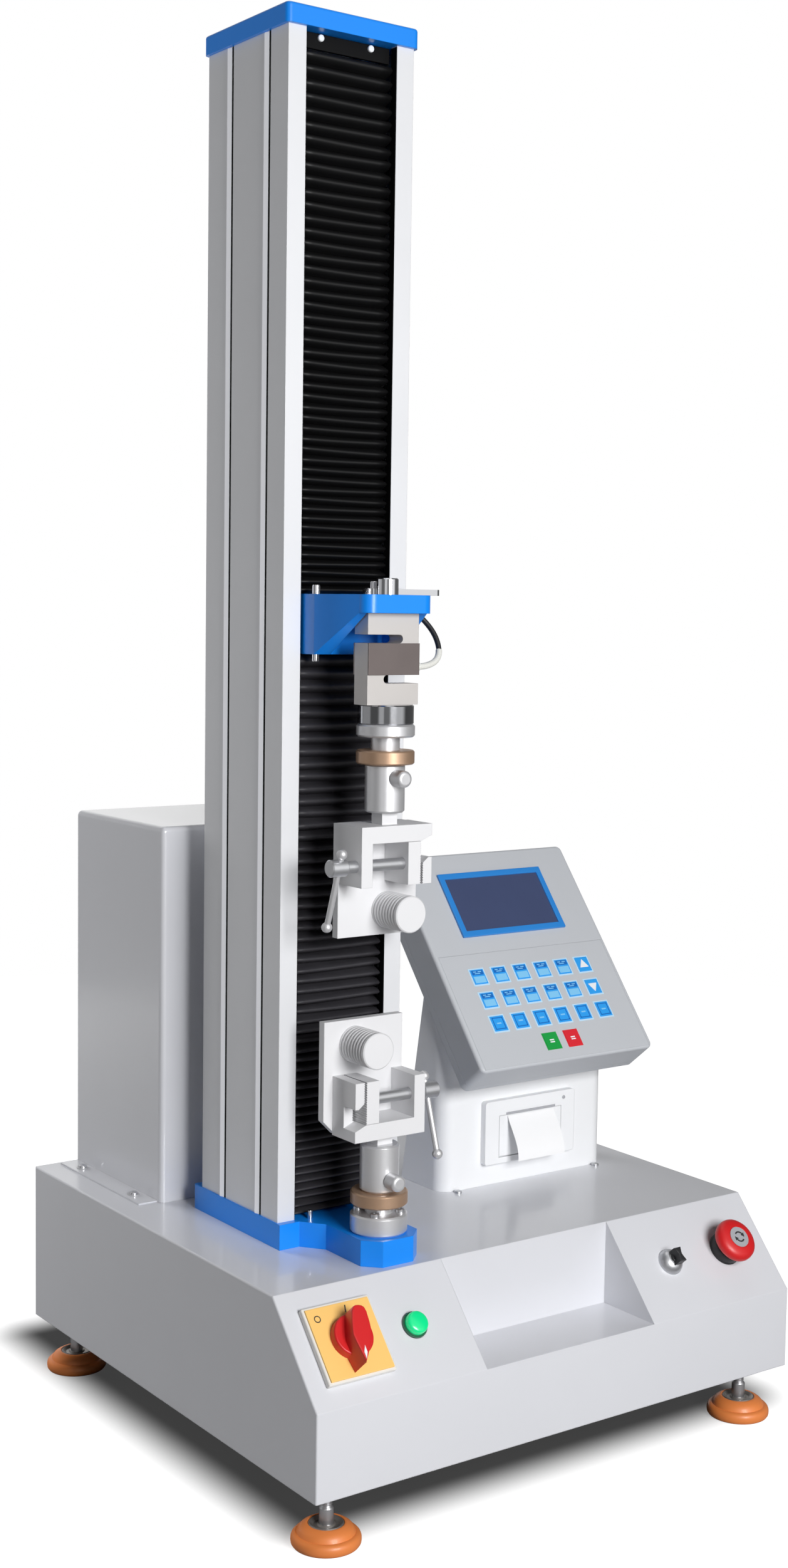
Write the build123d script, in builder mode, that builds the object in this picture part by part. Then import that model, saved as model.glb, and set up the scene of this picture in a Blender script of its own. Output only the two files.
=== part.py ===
from build123d import *
import math
import os

# Single-column bench testing machine, in millimetres.
# +X is the operator's right, +Y is towards the back and +Z is up. The floor is Z = 0.

# Base cabinet, folded from sheet steel
base_width = 520.0
base_depth = 500.0
base_height = 147.0
base_front_height = 72.5
base_slope_depth = 66.0
base_sheet = 2.0
base_edge_radius = 1.6
trough_width = 185.5
floor_plate_thick = 3.0
floor_plate_gap = 0.3

# Levelling feet
foot_height = 50.0
foot_inset = 30.0
foot_pad_radius = 28.5
foot_rim_height = 10.0
foot_cup_radius = 14.6
foot_cup_height = 18.0
foot_collar_radius = 6.0
foot_collar_height = 31.0
foot_stud_radius = 5.0
foot_stud_rise = 22.0

# Column, its plates and the load axis in front of it
column_x = -132.0
column_front_y = -87.0
column_width = 125.0
column_depth = 127.0
column_length = 993.0
column_wall = 6.0
column_lip_width = 17.2
column_lip_thick = 8.0
column_rib_depth = 8.0
column_rib_width = 16.0
column_rib_setback = 67.0
column_groove = 3.0
column_groove_setbacks = (28.2, 87.3)
cap_thick = 16.4
cap_overhang = 3.5
cap_edge_radius = 2.5
base_plate_thick = 22.0
base_plate_overhang = 1.5
base_plate_front = 6.0
base_plate_rear = 13.0
base_plate_shoulder = 44.0
base_plate_nose_taper = 19.0
base_plate_nose = 29.0
base_plate_nose_chamfer = 13.5
load_axis_reach = 61.0

# Drive train inside the column and the base
screw_radius = 10.0
screw_drop = 60.0
bearing_size = 52.0
bearing_thick = 26.0
nut_radius = 18.0
nut_flange_radius = 27.0
nut_flange_thick = 10.0
nut_length = 52.0
pulley_radius = 30.0
pulley_width = 16.0
pulley_flange = 2.0
pulley_flange_thick = 1.5
pulley_drop = 24.0
motor_pulley_radius = 15.0
motor_shaft_radius = 7.0
motor_flange_width = 90.0
motor_flange_thick = 10.0
motor_radius = 42.0
motor_length = 190.0
encoder_radius = 30.0
encoder_length = 40.0
motor_shaft_reach = 28.0
belt_thick = 2.5
belt_gap = 0.3
electronics_size = (150.0, 110.0, 60.0)
electronics_place = (110.0, 60.0)
electronics_edge = 3.0

# Motor cover behind the column
cover_width = 168.0
cover_gap = 38.5
cover_height = 346.0
cover_sheet = 1.5
cover_corner = 5.0
cover_flange = 19.5
cover_relief = 6.0

# Crosshead and load cell
crosshead_top_z = 753.0
bracket_height = 50.0
bracket_plate = 15.0
bracket_side_gap = 2.3
bracket_nose_taper = 9.0
bracket_nose_reach = 81.0
bracket_nose_radius = 10.0
bracket_back_plate = 17.0
bracket_nose_flat = 1.0
cell_side_gap = 1.0
bracket_tongue = 27.0
carriage_height = 74.0
carriage_depth = 74.0
clamp_plate_size = (70.0, 19.0, 5.0)
clamp_plate_offset = (26.0, 17.5)
clamp_plate_corner = 4.0
clamp_stud_radius = 9.0
clamp_stud_rise = 13.5
cell_width = 51.0
cell_depth = 19.0
cell_height = 75.0
cell_slot = 7.0
cell_slot_run = 35.0
cell_slot_inset = 17.5
cell_thread_radius = 6.0
cell_thread_depth = 14.0
cell_cover_thick = 1.5
coupling_radius = 23.2
coupling_height = 16.0

# Load cell lead: a gland on the cell, then the route up to the bracket's side
lead_radius = 2.3
lead_gland_radius = 4.0
lead_gland_length = 8.0
lead_route = (
    (-98.5, -148.0, 694.0),
    (-86.0, -147.0, 694.5),
    (-73.5, -143.5, 703.0),
    (-71.5, -135.0, 719.0),
    (-78.5, -125.0, 734.0),
    (-89.6, -119.0, 744.0),
)

# Grip couplings: flange, lock nut, socket and pin, alike above and below
flange_radius = 24.3
upper_flange_thick = 10.5
lower_flange_thick = 16.5
upper_neck = 11.0
lower_neck = 7.3
neck_radius = 12.0
lock_nut_height = 11.5
lock_nut_chamfer = 1.2
socket_radius = 16.6
socket_length = 40.0
socket_chamfer = 1.5
spigot_radius = 10.0
spigot_length = 24.0
pin_radius = 5.0
pin_from_nut = 11.0
pin_tail = 2.0
pin_head_radius = 7.0
pin_head_length = 13.0
pin_head_rounding = 3.0
stub_square = 15.3
upper_stub = 10.0
lower_stub = 8.0
tenon_radius = 6.5
tenon_length = 10.0

# Bollard vice grips, drawn from the end face that meets the coupling
grip_left = 34.0
grip_right = 37.0
grip_half_depth = 17.0
grip_leg = 11.0
grip_bar = 14.0
grip_reach = 50.0
grip_plate_right = 46.0
grip_plate_length = 96.0
grip_plate_thick = 7.5
grip_plate_corner = 12.0
grip_ear_edge = 9.5
grip_notch_depth = 17.0
grip_notch_bottom = 28.0
grip_notch_chamfer = 6.0
jaw_thick = 13.0
jaw_gap = 1.5
fixed_jaw_thick = 9.5
jaw_tooth = 0.8
jaw_tooth_count = 18
bollard_radius = 15.5
bollard_length = 36.0
bollard_from_end = 75.0
bollard_groove = 0.7
bollard_groove_count = 8
bollard_groove_pitch = 2.6
clamp_screw_radius = 5.0
clamp_screw_down = 33.0
clamp_screw_front = 8.0
clamp_screw_seat = 4.0
clamp_head_radius = 7.25
clamp_head_length = 16.0
upper_head_gap = 10.0
lower_head_gap = 2.0
clamp_head_chamfer = 1.0
bar_radius = 2.5
bar_span = 66.0
bar_ball_radius = 4.5
bar_from_head_end = 10.0
bar_lean = 18.5

# Bellows in the column's front slot
bellows_recess = 5.0
bellows_depth = 11.0
bellows_sheet = 1.6
bellows_side_gap = 0.6
bellows_pitch = 9.0

# Console: pedestal, tilted housing, keys, display and paper printer
console_x = 119.0
pedestal_width = 200.0
pedestal_front_y = -37.0
pedestal_rear_y = 28.0
pedestal_corner = 15.0
console_wall = 2.5
console_width = 209.0
console_length = 231.0
console_front_thick = 30.0
console_back_thick = 8.0
console_tilt = 51.0
console_edge_y = -101.0
console_edge_z = 325.5
console_edge_radius = 3.0
console_corner = 6.0
display_width = 126.0
display_height = 70.0
display_up = 172.3
display_border = 6.0
display_thick = 3.0
display_recess = 1.2
membrane_width = 196.0
membrane_height = 112.0
membrane_up = 60.0
membrane_thick = 0.6
key_size = 15.5
key_rise = 0.6
key_pitch_x = 25.7
key_pitch_y = 24.8
key_rows_up = 95.3
key_columns = 6
printer_width = 110.0
printer_height = 61.0
printer_proud = 7.0
printer_up = 51.5
printer_corner = 3.0
printer_body = (84.0, 52.0, 40.0)
printer_roll = (62.0, 36.0, 34.0)
door_width = 76.0
door_height = 40.0
door_thick = 4.0
door_down = 4.5
door_pin_radius = 1.2
door_pin_length = 3.0

# Controls on the sloped front panel
control_hole_radius = 11.2
control_barrel_radius = 11.0
control_barrel_length = 30.0
isolator_share = 0.294
isolator_size = 65.0
isolator_thick = 7.0
isolator_corner = 3.0
isolator_disc_radius = 17.5
isolator_disc_rise = 8.0
isolator_bar_tip = 28.5
isolator_bar_top = 19.0
isolator_bar_belly = 18.0
isolator_belly_drop = 6.0
isolator_bar_head = 13.0
isolator_bar_crown = 5.0
isolator_bar_turn = 15.0
isolator_bar_rise = 14.0
isolator_shaft_radius = 4.0
isolator_shaft_length = 6.0
lamp_share = 0.694
lamp_radius = 9.6
lamp_rise = 9.0
lamp_bezel_radius = 11.2
lamp_bezel_rise = 3.0
selector_share = 0.712
selector_bezel_radius = 12.0
selector_bezel_rise = 9.0
selector_dome_rounding = 5.5
selector_shaft_radius = 4.0
selector_shaft_length = 12.0
selector_lever_length = 13.0
selector_lever_end = 8.0
selector_lever_waist = 4.0
selector_lever_rise = 9.0
estop_share = 0.305
estop_collar_radius = 15.5
estop_collar_rise = 9.0
estop_stem_radius = 8.0
estop_stem_depth = 22.0
estop_travel = 5.0
estop_head_radius = 20.0
estop_head_thick = 11.0
estop_head_rounding = 4.0
estop_hub_radius = 5.0
estop_hub_depth = 8.0

# Clearances: a running fit, a seat within one assembly, a free gap, a shaft's way through sheet
run_fit = 0.05
seat_fit = 0.1
free_gap = 0.3
shaft_gap = 2.0

# Places worked out from the sizes above
front_y = -base_depth / 2
rear_y = base_depth / 2
base_bottom_z = foot_height
base_top_z = base_bottom_z + base_height
shelf_z = base_bottom_z + base_front_height
slope_top_y = front_y + base_slope_depth
wing_width = (base_width - trough_width) / 2
isolator_x = -base_width / 2 + isolator_share * wing_width
lamp_x = -base_width / 2 + lamp_share * wing_width
selector_x = base_width / 2 - selector_share * wing_width
estop_x = base_width / 2 - estop_share * wing_width
base_plate_top_z = base_top_z + base_plate_thick
column_top_z = base_plate_top_z + column_length
column_rear_y = column_front_y + column_depth
column_mid_y = column_front_y + column_depth / 2
slot_half_width = column_width / 2 - column_lip_width
load_axis_y = column_front_y - load_axis_reach
load_axis = Axis((column_x, load_axis_y, 0), (0, 0, 1))
screw_axis = Axis((column_x, column_mid_y, 0), (0, 0, 1))
cover_front_y = column_rear_y + cover_gap
cover_depth = rear_y - cover_front_y
motor_y = (cover_front_y + rear_y) / 2
bracket_half_width = slot_half_width - bracket_side_gap
bracket_nose_half_width = bracket_half_width - bracket_nose_taper
bracket_bottom_z = crosshead_top_z - bracket_height
cell_top_z = crosshead_top_z - bracket_plate
cell_bottom_z = cell_top_z - cell_height
coupling_bottom_z = cell_bottom_z - coupling_height
coupling_train = lock_nut_height + socket_length
upper_grip_z = coupling_bottom_z - upper_flange_thick - upper_neck - coupling_train - upper_stub
lower_grip_z = base_plate_top_z + lower_flange_thick + lower_neck + coupling_train + lower_stub
pulley_top_z = base_top_z - base_sheet - pulley_drop
pulley_mid_z = pulley_top_z - pulley_width / 2


def save(part, name):
    """Label one finished piece and write it to its own file."""
    part.label = name
    export_step(part, f"parts/{name}.step")


def side_plane(x):
    """Plane at x with sketch axes along +Y and +Z."""
    return Plane(origin=(x, 0, 0), x_dir=(0, 1, 0), z_dir=(1, 0, 0))


def slope_plane(x):
    """Plane on the middle of the sloped panel at x, with its normal outwards."""
    rise = base_top_z - shelf_z
    middle = (x, (front_y + slope_top_y) / 2, (shelf_z + base_top_z) / 2)
    return Plane(origin=middle, x_dir=(1, 0, 0), z_dir=(0, -rise, base_slope_depth))


def upright_plane(x, y, z=0):
    """Upright plane through a point, facing the operator, with +Z as its second axis."""
    return Plane(origin=(x, y, z), x_dir=(1, 0, 0), z_dir=(0, -1, 0))


def grip_plane(z, turn):
    """Plane of a grip on the load axis: turn is 1 for the upper one, -1 for the lower one."""
    return Plane(origin=(column_x, load_axis_y, z), x_dir=(turn, 0, 0), z_dir=(0, -1, 0))


def normal_of(plane):
    """Axis along a plane's normal, for picking the faces at its two ends."""
    return Axis(plane.origin, plane.z_dir)


def teeth(edge, tip, bottom, top, count):
    """Zigzag points up an edge, from bottom to top, with tips at the tip coordinate."""
    pitch = (top - bottom) / count
    points = []
    for tooth in range(count):
        points.append((edge, bottom + tooth * pitch))
        points.append((tip, bottom + (tooth + 0.5) * pitch))
    points.append((edge, top))
    return points


os.makedirs("parts", exist_ok=True)

# Base cabinet: a shell open underneath, with a stepped trough between two sloped wings
step_outline = (
    (front_y, base_bottom_z),
    (front_y, shelf_z),
    (slope_top_y, shelf_z),
    (slope_top_y, base_top_z),
    (rear_y, base_top_z),
    (rear_y, base_bottom_z),
)
wing_outline = tuple(point for point in step_outline if point != (slope_top_y, shelf_z))


def open_below(outline):
    """The same outline carried below the cabinet's open underside."""
    return [(y, z - 2 * base_sheet if z == base_bottom_z else z) for y, z in outline]


with BuildPart() as base_cabinet:
    with BuildSketch(side_plane(-base_width / 2)):
        Polygon(*step_outline)
    extrude(amount=base_width)
    for wing_x in (-base_width / 2, trough_width / 2):
        with BuildSketch(side_plane(wing_x)):
            Polygon(*wing_outline)
        extrude(amount=wing_width)
    for side in (-1, 1):
        rims = base_cabinet.edges().filter_by_position(
            Axis.X, side * base_width / 2 - 0.1, side * base_width / 2 + 0.1
        )
        fillet(
            [rim for rim in rims if rim.center().Z > base_bottom_z + 0.1],
            radius=base_edge_radius,
        )
    with BuildSketch(side_plane(-base_width / 2 + base_sheet)):
        Polygon(*open_below(step_outline))
        offset(amount=-base_sheet, kind=Kind.INTERSECTION)
    extrude(amount=base_width - 2 * base_sheet, mode=Mode.SUBTRACT)
    for wing_x in (-base_width / 2, trough_width / 2):
        with BuildSketch(side_plane(wing_x + base_sheet)):
            Polygon(*open_below(wing_outline))
            offset(amount=-base_sheet, kind=Kind.INTERSECTION)
        extrude(amount=wing_width - 2 * base_sheet, mode=Mode.SUBTRACT)
    for control_x in (isolator_x, lamp_x, selector_x, estop_x):
        with BuildSketch(slope_plane(control_x)):
            Circle(control_hole_radius)
        extrude(amount=-2 * base_sheet, mode=Mode.SUBTRACT)
    with BuildSketch(Plane.XY.offset(base_top_z)):
        with Locations((column_x, column_mid_y)):
            Circle(screw_radius + shaft_gap)
        with Locations((column_x, motor_y)):
            Circle(motor_shaft_radius + shaft_gap)
    extrude(amount=-2 * base_sheet, mode=Mode.SUBTRACT)
save(base_cabinet.part, "base_cabinet")

foot_x = base_width / 2 - foot_inset
foot_y = base_depth / 2 - foot_inset
with BuildPart() as base_floor_plate:
    with BuildSketch(Plane.XY.offset(base_bottom_z)):
        inner = 2 * (base_sheet + floor_plate_gap)
        Rectangle(base_width - inner, base_depth - inner)
        with GridLocations(2 * foot_x, 2 * foot_y, 2, 2):
            Circle(foot_stud_radius + run_fit, mode=Mode.SUBTRACT)
    extrude(amount=floor_plate_thick)
save(base_floor_plate.part, "base_floor_plate")

foot_outline = (
    (0, 0),
    (foot_pad_radius, 0),
    (foot_pad_radius, foot_rim_height),
    (foot_cup_radius, foot_cup_height),
    (foot_collar_radius, foot_cup_height),
    (foot_collar_radius, foot_collar_height),
    (foot_stud_radius, foot_collar_height + foot_collar_radius - foot_stud_radius),
    (foot_stud_radius, foot_height + foot_stud_rise),
    (0, foot_height + foot_stud_rise),
)
foot_places = {
    "front_left": (-foot_x, -foot_y),
    "front_right": (foot_x, -foot_y),
    "rear_left": (-foot_x, foot_y),
    "rear_right": (foot_x, foot_y),
}
for place, (x, y) in foot_places.items():
    with BuildPart() as levelling_foot:
        with BuildSketch(upright_plane(x, y)):
            Polygon(*foot_outline)
        revolve(axis=Axis((x, y, 0), (0, 0, 1)))
        rim = levelling_foot.edges().filter_by(GeomType.CIRCLE).group_by(Axis.Z)[1]
        fillet(rim, radius=foot_rim_height / 5)
    save(levelling_foot.part, f"levelling_foot_{place}")

# Column: base plate with its octagonal nose, slotted extrusion, cap
plate_side = column_width / 2 + base_plate_overhang
plate_front_y = column_front_y - base_plate_front
plate_rear_y = column_rear_y + base_plate_rear
nose_rear_y = plate_front_y - base_plate_nose_taper
nose_front_y = load_axis_y - base_plate_nose
half_plate = (
    (0, plate_rear_y),
    (plate_side, plate_rear_y),
    (plate_side, plate_front_y),
    (base_plate_shoulder, plate_front_y),
    (base_plate_nose, nose_rear_y),
    (base_plate_nose, nose_front_y + base_plate_nose_chamfer),
    (base_plate_nose - base_plate_nose_chamfer, nose_front_y),
    (0, nose_front_y),
)
with BuildPart() as column_base_plate:
    with BuildSketch(Plane.XY.offset(base_top_z)):
        with Locations((column_x, 0)):
            Polygon(*half_plate)
            Polygon(*[(-x, y) for x, y in half_plate])
        with Locations((column_x, column_mid_y)):
            Circle(screw_radius + shaft_gap, mode=Mode.SUBTRACT)
    extrude(amount=base_plate_thick)
    corners = column_base_plate.edges().filter_by(Axis.Z).group_by(Axis.Y)
    fillet(corners[-1], radius=base_plate_front / 2)
save(column_base_plate.part, "column_base_plate")

cavity_half_width = column_width / 2 - column_wall
rib_y = column_front_y + column_rib_setback
with BuildPart() as column_extrusion:
    with BuildSketch(Plane.XY.offset(base_plate_top_z)):
        with Locations((column_x, column_mid_y)):
            Rectangle(column_width, column_depth)
        with Locations((column_x, column_front_y)):
            Rectangle(
                2 * slot_half_width,
                column_depth - column_wall,
                align=(Align.CENTER, Align.MIN),
                mode=Mode.SUBTRACT,
            )
        with Locations((column_x, column_front_y + column_lip_thick)):
            Rectangle(
                2 * cavity_half_width,
                column_depth - column_lip_thick - column_wall,
                align=(Align.CENTER, Align.MIN),
                mode=Mode.SUBTRACT,
            )
        for side in (-1, 1):
            with Locations((column_x + side * (cavity_half_width - column_rib_depth / 2), rib_y)):
                Rectangle(column_rib_depth, column_rib_width)
            for setback in column_groove_setbacks:
                with Locations((column_x + side * column_width / 2, column_front_y + setback)):
                    Rectangle(column_groove, column_groove, mode=Mode.SUBTRACT)
    extrude(amount=column_length)
save(column_extrusion.part, "column_extrusion")

with BuildPart() as column_top_cap:
    with BuildSketch(Plane.XY.offset(column_top_z)):
        with Locations((column_x, column_mid_y)):
            Rectangle(column_width + 2 * cap_overhang, column_depth + 2 * cap_overhang)
    extrude(amount=cap_thick)
    fillet(column_top_cap.edges().filter_by(Axis.Z), radius=2 * cap_edge_radius)
    fillet(column_top_cap.faces().sort_by(Axis.Z)[-1].edges(), radius=cap_edge_radius)
save(column_top_cap.part, "column_top_cap")

# Ball screw in two bearings, with its pulley below the cabinet's top
screw_bottom_z = base_top_z - screw_drop
screw_top_z = column_top_z - bearing_thick / 4
with BuildPart() as ball_screw:
    with BuildSketch(Plane.XY.offset(screw_bottom_z)):
        with Locations((column_x, column_mid_y)):
            Circle(screw_radius)
    extrude(amount=screw_top_z - screw_bottom_z)
    chamfer(ball_screw.edges().filter_by(GeomType.CIRCLE), length=screw_radius / 10)
save(ball_screw.part, "ball_screw")

with BuildPart() as screw_bearings:
    for bearing_z in (base_plate_top_z, column_top_z - bearing_thick):
        with BuildSketch(Plane.XY.offset(bearing_z)):
            with Locations((column_x, column_mid_y)):
                Rectangle(bearing_size, bearing_size)
                Circle(screw_radius + run_fit, mode=Mode.SUBTRACT)
        extrude(amount=bearing_thick)
save(screw_bearings.part, "screw_bearings")


def pulley_outline(radius, bore):
    """Half section of a flanged belt pulley, in radius and height."""
    low = pulley_top_z - pulley_width
    rim = radius + pulley_flange
    return (
        (bore, low),
        (rim, low),
        (rim, low + pulley_flange_thick),
        (radius, low + pulley_flange_thick),
        (radius, pulley_top_z - pulley_flange_thick),
        (rim, pulley_top_z - pulley_flange_thick),
        (rim, pulley_top_z),
        (bore, pulley_top_z),
    )


with BuildPart() as screw_pulley:
    with BuildSketch(upright_plane(column_x, column_mid_y)):
        Polygon(*pulley_outline(pulley_radius, screw_radius + seat_fit))
    revolve(axis=screw_axis)
save(screw_pulley.part, "screw_pulley")

motor_axis = Axis((column_x, motor_y, 0), (0, 0, 1))
with BuildPart() as motor_pulley:
    with BuildSketch(upright_plane(column_x, motor_y)):
        Polygon(*pulley_outline(motor_pulley_radius, 0))
        with Locations((0, pulley_mid_z)):
            Rectangle(
                motor_shaft_radius,
                base_top_z + motor_shaft_reach - pulley_mid_z,
                align=(Align.MIN, Align.MIN),
            )
    revolve(axis=motor_axis)
save(motor_pulley.part, "motor_pulley")

belt_width = pulley_width - 2 * pulley_flange_thick - 2 * belt_gap
with BuildPart() as drive_belt:
    for skin, belt_mode in ((belt_gap + belt_thick, Mode.ADD), (belt_gap, Mode.SUBTRACT)):
        with BuildSketch(Plane.XY.offset(pulley_mid_z - belt_width / 2)):
            with Locations((column_x, column_mid_y)):
                Circle(pulley_radius + skin)
            with Locations((column_x, motor_y)):
                Circle(motor_pulley_radius + skin)
            make_hull()
        extrude(amount=belt_width, mode=belt_mode)
save(drive_belt.part, "drive_belt")

with BuildPart() as drive_motor:
    with BuildSketch(Plane.XY.offset(base_top_z)):
        with Locations((column_x, motor_y)):
            RectangleRounded(motor_flange_width, motor_flange_width, motor_flange_width / 12)
    extrude(amount=motor_flange_thick)
    with BuildSketch(Plane.XY.offset(base_top_z + motor_flange_thick)):
        with Locations((column_x, motor_y)):
            Circle(motor_radius)
    extrude(amount=motor_length)
    with BuildSketch(Plane.XY.offset(base_top_z + motor_flange_thick + motor_length)):
        with Locations((column_x, motor_y)):
            Circle(encoder_radius)
    extrude(amount=encoder_length)
    with BuildSketch(Plane.XY.offset(base_top_z)):
        with Locations((column_x, motor_y)):
            Circle(motor_shaft_radius + run_fit)
    extrude(amount=motor_shaft_reach + free_gap, mode=Mode.SUBTRACT)
save(drive_motor.part, "drive_motor")

with BuildPart() as motor_cover:
    with BuildSketch(Plane.XY.offset(base_top_z)):
        with Locations((column_x, motor_y)):
            Rectangle(cover_width, cover_depth)
    extrude(amount=cover_height)
    fillet(motor_cover.edges().filter_by(Axis.Z), radius=cover_corner)
    fillet(motor_cover.faces().sort_by(Axis.Z)[-1].edges(), radius=cover_corner)
    offset(amount=-cover_sheet, openings=motor_cover.faces().sort_by(Axis.Z)[0])
    with BuildSketch(Plane.XY.offset(base_top_z)):
        with Locations((column_x, motor_y)):
            Rectangle(cover_width + 2 * cover_flange, cover_depth - 2 * cover_relief)
            Rectangle(cover_width - 2 * cover_sheet, cover_depth, mode=Mode.SUBTRACT)
    extrude(amount=cover_sheet)
save(motor_cover.part, "motor_cover")

with BuildPart() as drive_electronics:
    with BuildSketch(Plane.XY.offset(base_bottom_z + floor_plate_thick)):
        with Locations(electronics_place):
            Rectangle(electronics_size[0], electronics_size[1])
    extrude(amount=electronics_size[2])
    fillet(drive_electronics.edges().filter_by(Axis.Z), radius=electronics_edge)
save(drive_electronics.part, "drive_electronics")

# Crosshead: bracket with two gussets, carriage on the column's ribs, ball nut
bracket_rear_y = column_front_y + bracket_tongue
bracket_back_y = column_front_y - bracket_back_plate
nose_y = column_front_y - bracket_nose_reach
taper_end_y = nose_y + bracket_nose_radius + bracket_nose_flat
half_bracket = (
    (0, bracket_rear_y),
    (bracket_half_width, bracket_rear_y),
    (bracket_half_width, bracket_back_y),
    (bracket_nose_half_width, taper_end_y),
    (bracket_nose_half_width, nose_y),
    (0, nose_y),
)
under_gusset = (
    (bracket_back_y, bracket_bottom_z),
    (taper_end_y, cell_top_z),
    (nose_y - 1, cell_top_z),
    (nose_y - 1, bracket_bottom_z),
)
with BuildPart() as crosshead_bracket:
    with BuildSketch(Plane.XY.offset(bracket_bottom_z)):
        with Locations((column_x, 0)):
            Polygon(*half_bracket)
            Polygon(*[(-x, y) for x, y in half_bracket])
    extrude(amount=bracket_height)
    corners = crosshead_bracket.edges().filter_by(Axis.Z).group_by(Axis.Y)[0]
    fillet(corners, radius=bracket_nose_radius)
    with BuildSketch(side_plane(column_x - bracket_half_width)):
        Polygon(*under_gusset)
    extrude(amount=2 * bracket_half_width, mode=Mode.SUBTRACT)
    with BuildSketch(Plane.XY.offset(bracket_bottom_z)):
        with Locations((column_x, bracket_back_y)):
            Rectangle(
                cell_width + 2 * cell_side_gap,
                bracket_nose_reach,
                align=(Align.CENTER, Align.MAX),
            )
    extrude(amount=bracket_height - bracket_plate, mode=Mode.SUBTRACT)
    with BuildSketch(Plane.XY.offset(crosshead_top_z)):
        with Locations((column_x, load_axis_y)):
            Circle(cell_thread_radius + seat_fit)
    extrude(amount=-bracket_plate, mode=Mode.SUBTRACT)
save(crosshead_bracket.part, "crosshead_bracket")

carriage_mid_z = crosshead_top_z - bracket_height / 2
carriage_bottom_z = carriage_mid_z - carriage_height / 2
with BuildPart() as crosshead_carriage:
    with BuildSketch(Plane.XY.offset(carriage_bottom_z)):
        with Locations((column_x, bracket_rear_y)):
            Rectangle(
                2 * (cavity_half_width - 2 * free_gap),
                carriage_depth,
                align=(Align.CENTER, Align.MIN),
            )
        for side in (-1, 1):
            with Locations((column_x + side * cavity_half_width, rib_y)):
                Rectangle(
                    2 * (column_rib_depth + free_gap),
                    column_rib_width + 2 * free_gap,
                    mode=Mode.SUBTRACT,
                )
        with Locations((column_x, column_mid_y)):
            Circle(nut_radius + seat_fit, mode=Mode.SUBTRACT)
    extrude(amount=carriage_height)
save(crosshead_carriage.part, "crosshead_carriage")

with BuildPart() as ball_nut:
    with BuildSketch(Plane.XY.offset(carriage_bottom_z - nut_flange_thick)):
        with Locations((column_x, column_mid_y)):
            Circle(nut_flange_radius)
    extrude(amount=nut_flange_thick)
    with BuildSketch(Plane.XY.offset(carriage_bottom_z)):
        with Locations((column_x, column_mid_y)):
            Circle(nut_radius)
    extrude(amount=nut_length)
    with BuildSketch(Plane.XY.offset(carriage_bottom_z - nut_flange_thick)):
        with Locations((column_x, column_mid_y)):
            Circle(screw_radius + run_fit)
    extrude(amount=nut_flange_thick + nut_length, mode=Mode.SUBTRACT)
save(ball_nut.part, "ball_nut")

# Pleated bellows above and below the bracket, folded from one sheet
bellows_front_y = column_front_y + bellows_recess
bellows_spans = {
    "upper_bellows": (crosshead_top_z, column_top_z),
    "lower_bellows": (base_plate_top_z, bracket_bottom_z),
}
for name, (low_z, high_z) in bellows_spans.items():
    folds = round((high_z - low_z) / bellows_pitch)
    fold_tip_y = bellows_front_y + bellows_depth - bellows_sheet
    front_folds = teeth(fold_tip_y, bellows_front_y, low_z, high_z, folds)
    rear_folds = [(y + bellows_sheet, z) for y, z in reversed(front_folds)]
    bellows_half_width = slot_half_width - bellows_side_gap
    with BuildPart() as bellows:
        with BuildSketch(side_plane(column_x - bellows_half_width)):
            Polygon(*front_folds, *rear_folds)
        extrude(amount=2 * bellows_half_width)
    save(bellows.part, name)

# Load cell below the bracket: an S-shaped block held by a stud through the plate
load_point = (column_x, load_axis_y)
with BuildPart() as load_cell_clamp:
    with BuildSketch(Plane.XY.offset(crosshead_top_z)):
        with Locations((column_x + clamp_plate_offset[0], load_axis_y + clamp_plate_offset[1])):
            RectangleRounded(clamp_plate_size[0], clamp_plate_size[1], clamp_plate_corner)
    extrude(amount=clamp_plate_size[2])
    with BuildSketch(Plane.XY.offset(crosshead_top_z)):
        with Locations(load_point):
            Circle(clamp_stud_radius)
    extrude(amount=clamp_stud_rise)
    with BuildSketch(Plane.XY.offset(crosshead_top_z)):
        with Locations(load_point):
            Circle(cell_thread_radius)
    extrude(amount=-bracket_plate - cell_thread_depth + seat_fit)
    top_rim = load_cell_clamp.faces().sort_by(Axis.Z)[-1].edges()
    chamfer(top_rim, length=clamp_stud_radius / 10)
save(load_cell_clamp.part, "load_cell_clamp")

cell_front = upright_plane(column_x, load_axis_y - cell_depth / 2, cell_bottom_z)
slot_low = cell_slot_inset
slot_high = cell_height - cell_slot_inset - cell_slot
with BuildPart() as load_cell:
    with BuildSketch(cell_front):
        with Locations((0, cell_height / 2)):
            Rectangle(cell_width, cell_height)
        for side, slot_z in ((1, slot_low), (-1, slot_high)):
            end_x = side * (cell_width / 2 - cell_slot_run + cell_slot / 2)
            run = cell_slot_run - cell_slot / 2
            with Locations((end_x, slot_z + cell_slot / 2)):
                Circle(cell_slot / 2, mode=Mode.SUBTRACT)
            with Locations((end_x + side * run / 2, slot_z + cell_slot / 2)):
                Rectangle(run, cell_slot, mode=Mode.SUBTRACT)
    extrude(amount=-cell_depth)
    for thread_z, depth in ((cell_top_z, -cell_thread_depth), (cell_bottom_z, cell_thread_depth)):
        with BuildSketch(Plane.XY.offset(thread_z)):
            with Locations(load_point):
                Circle(cell_thread_radius + seat_fit)
        extrude(amount=depth, mode=Mode.SUBTRACT)
save(load_cell.part, "load_cell")

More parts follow.
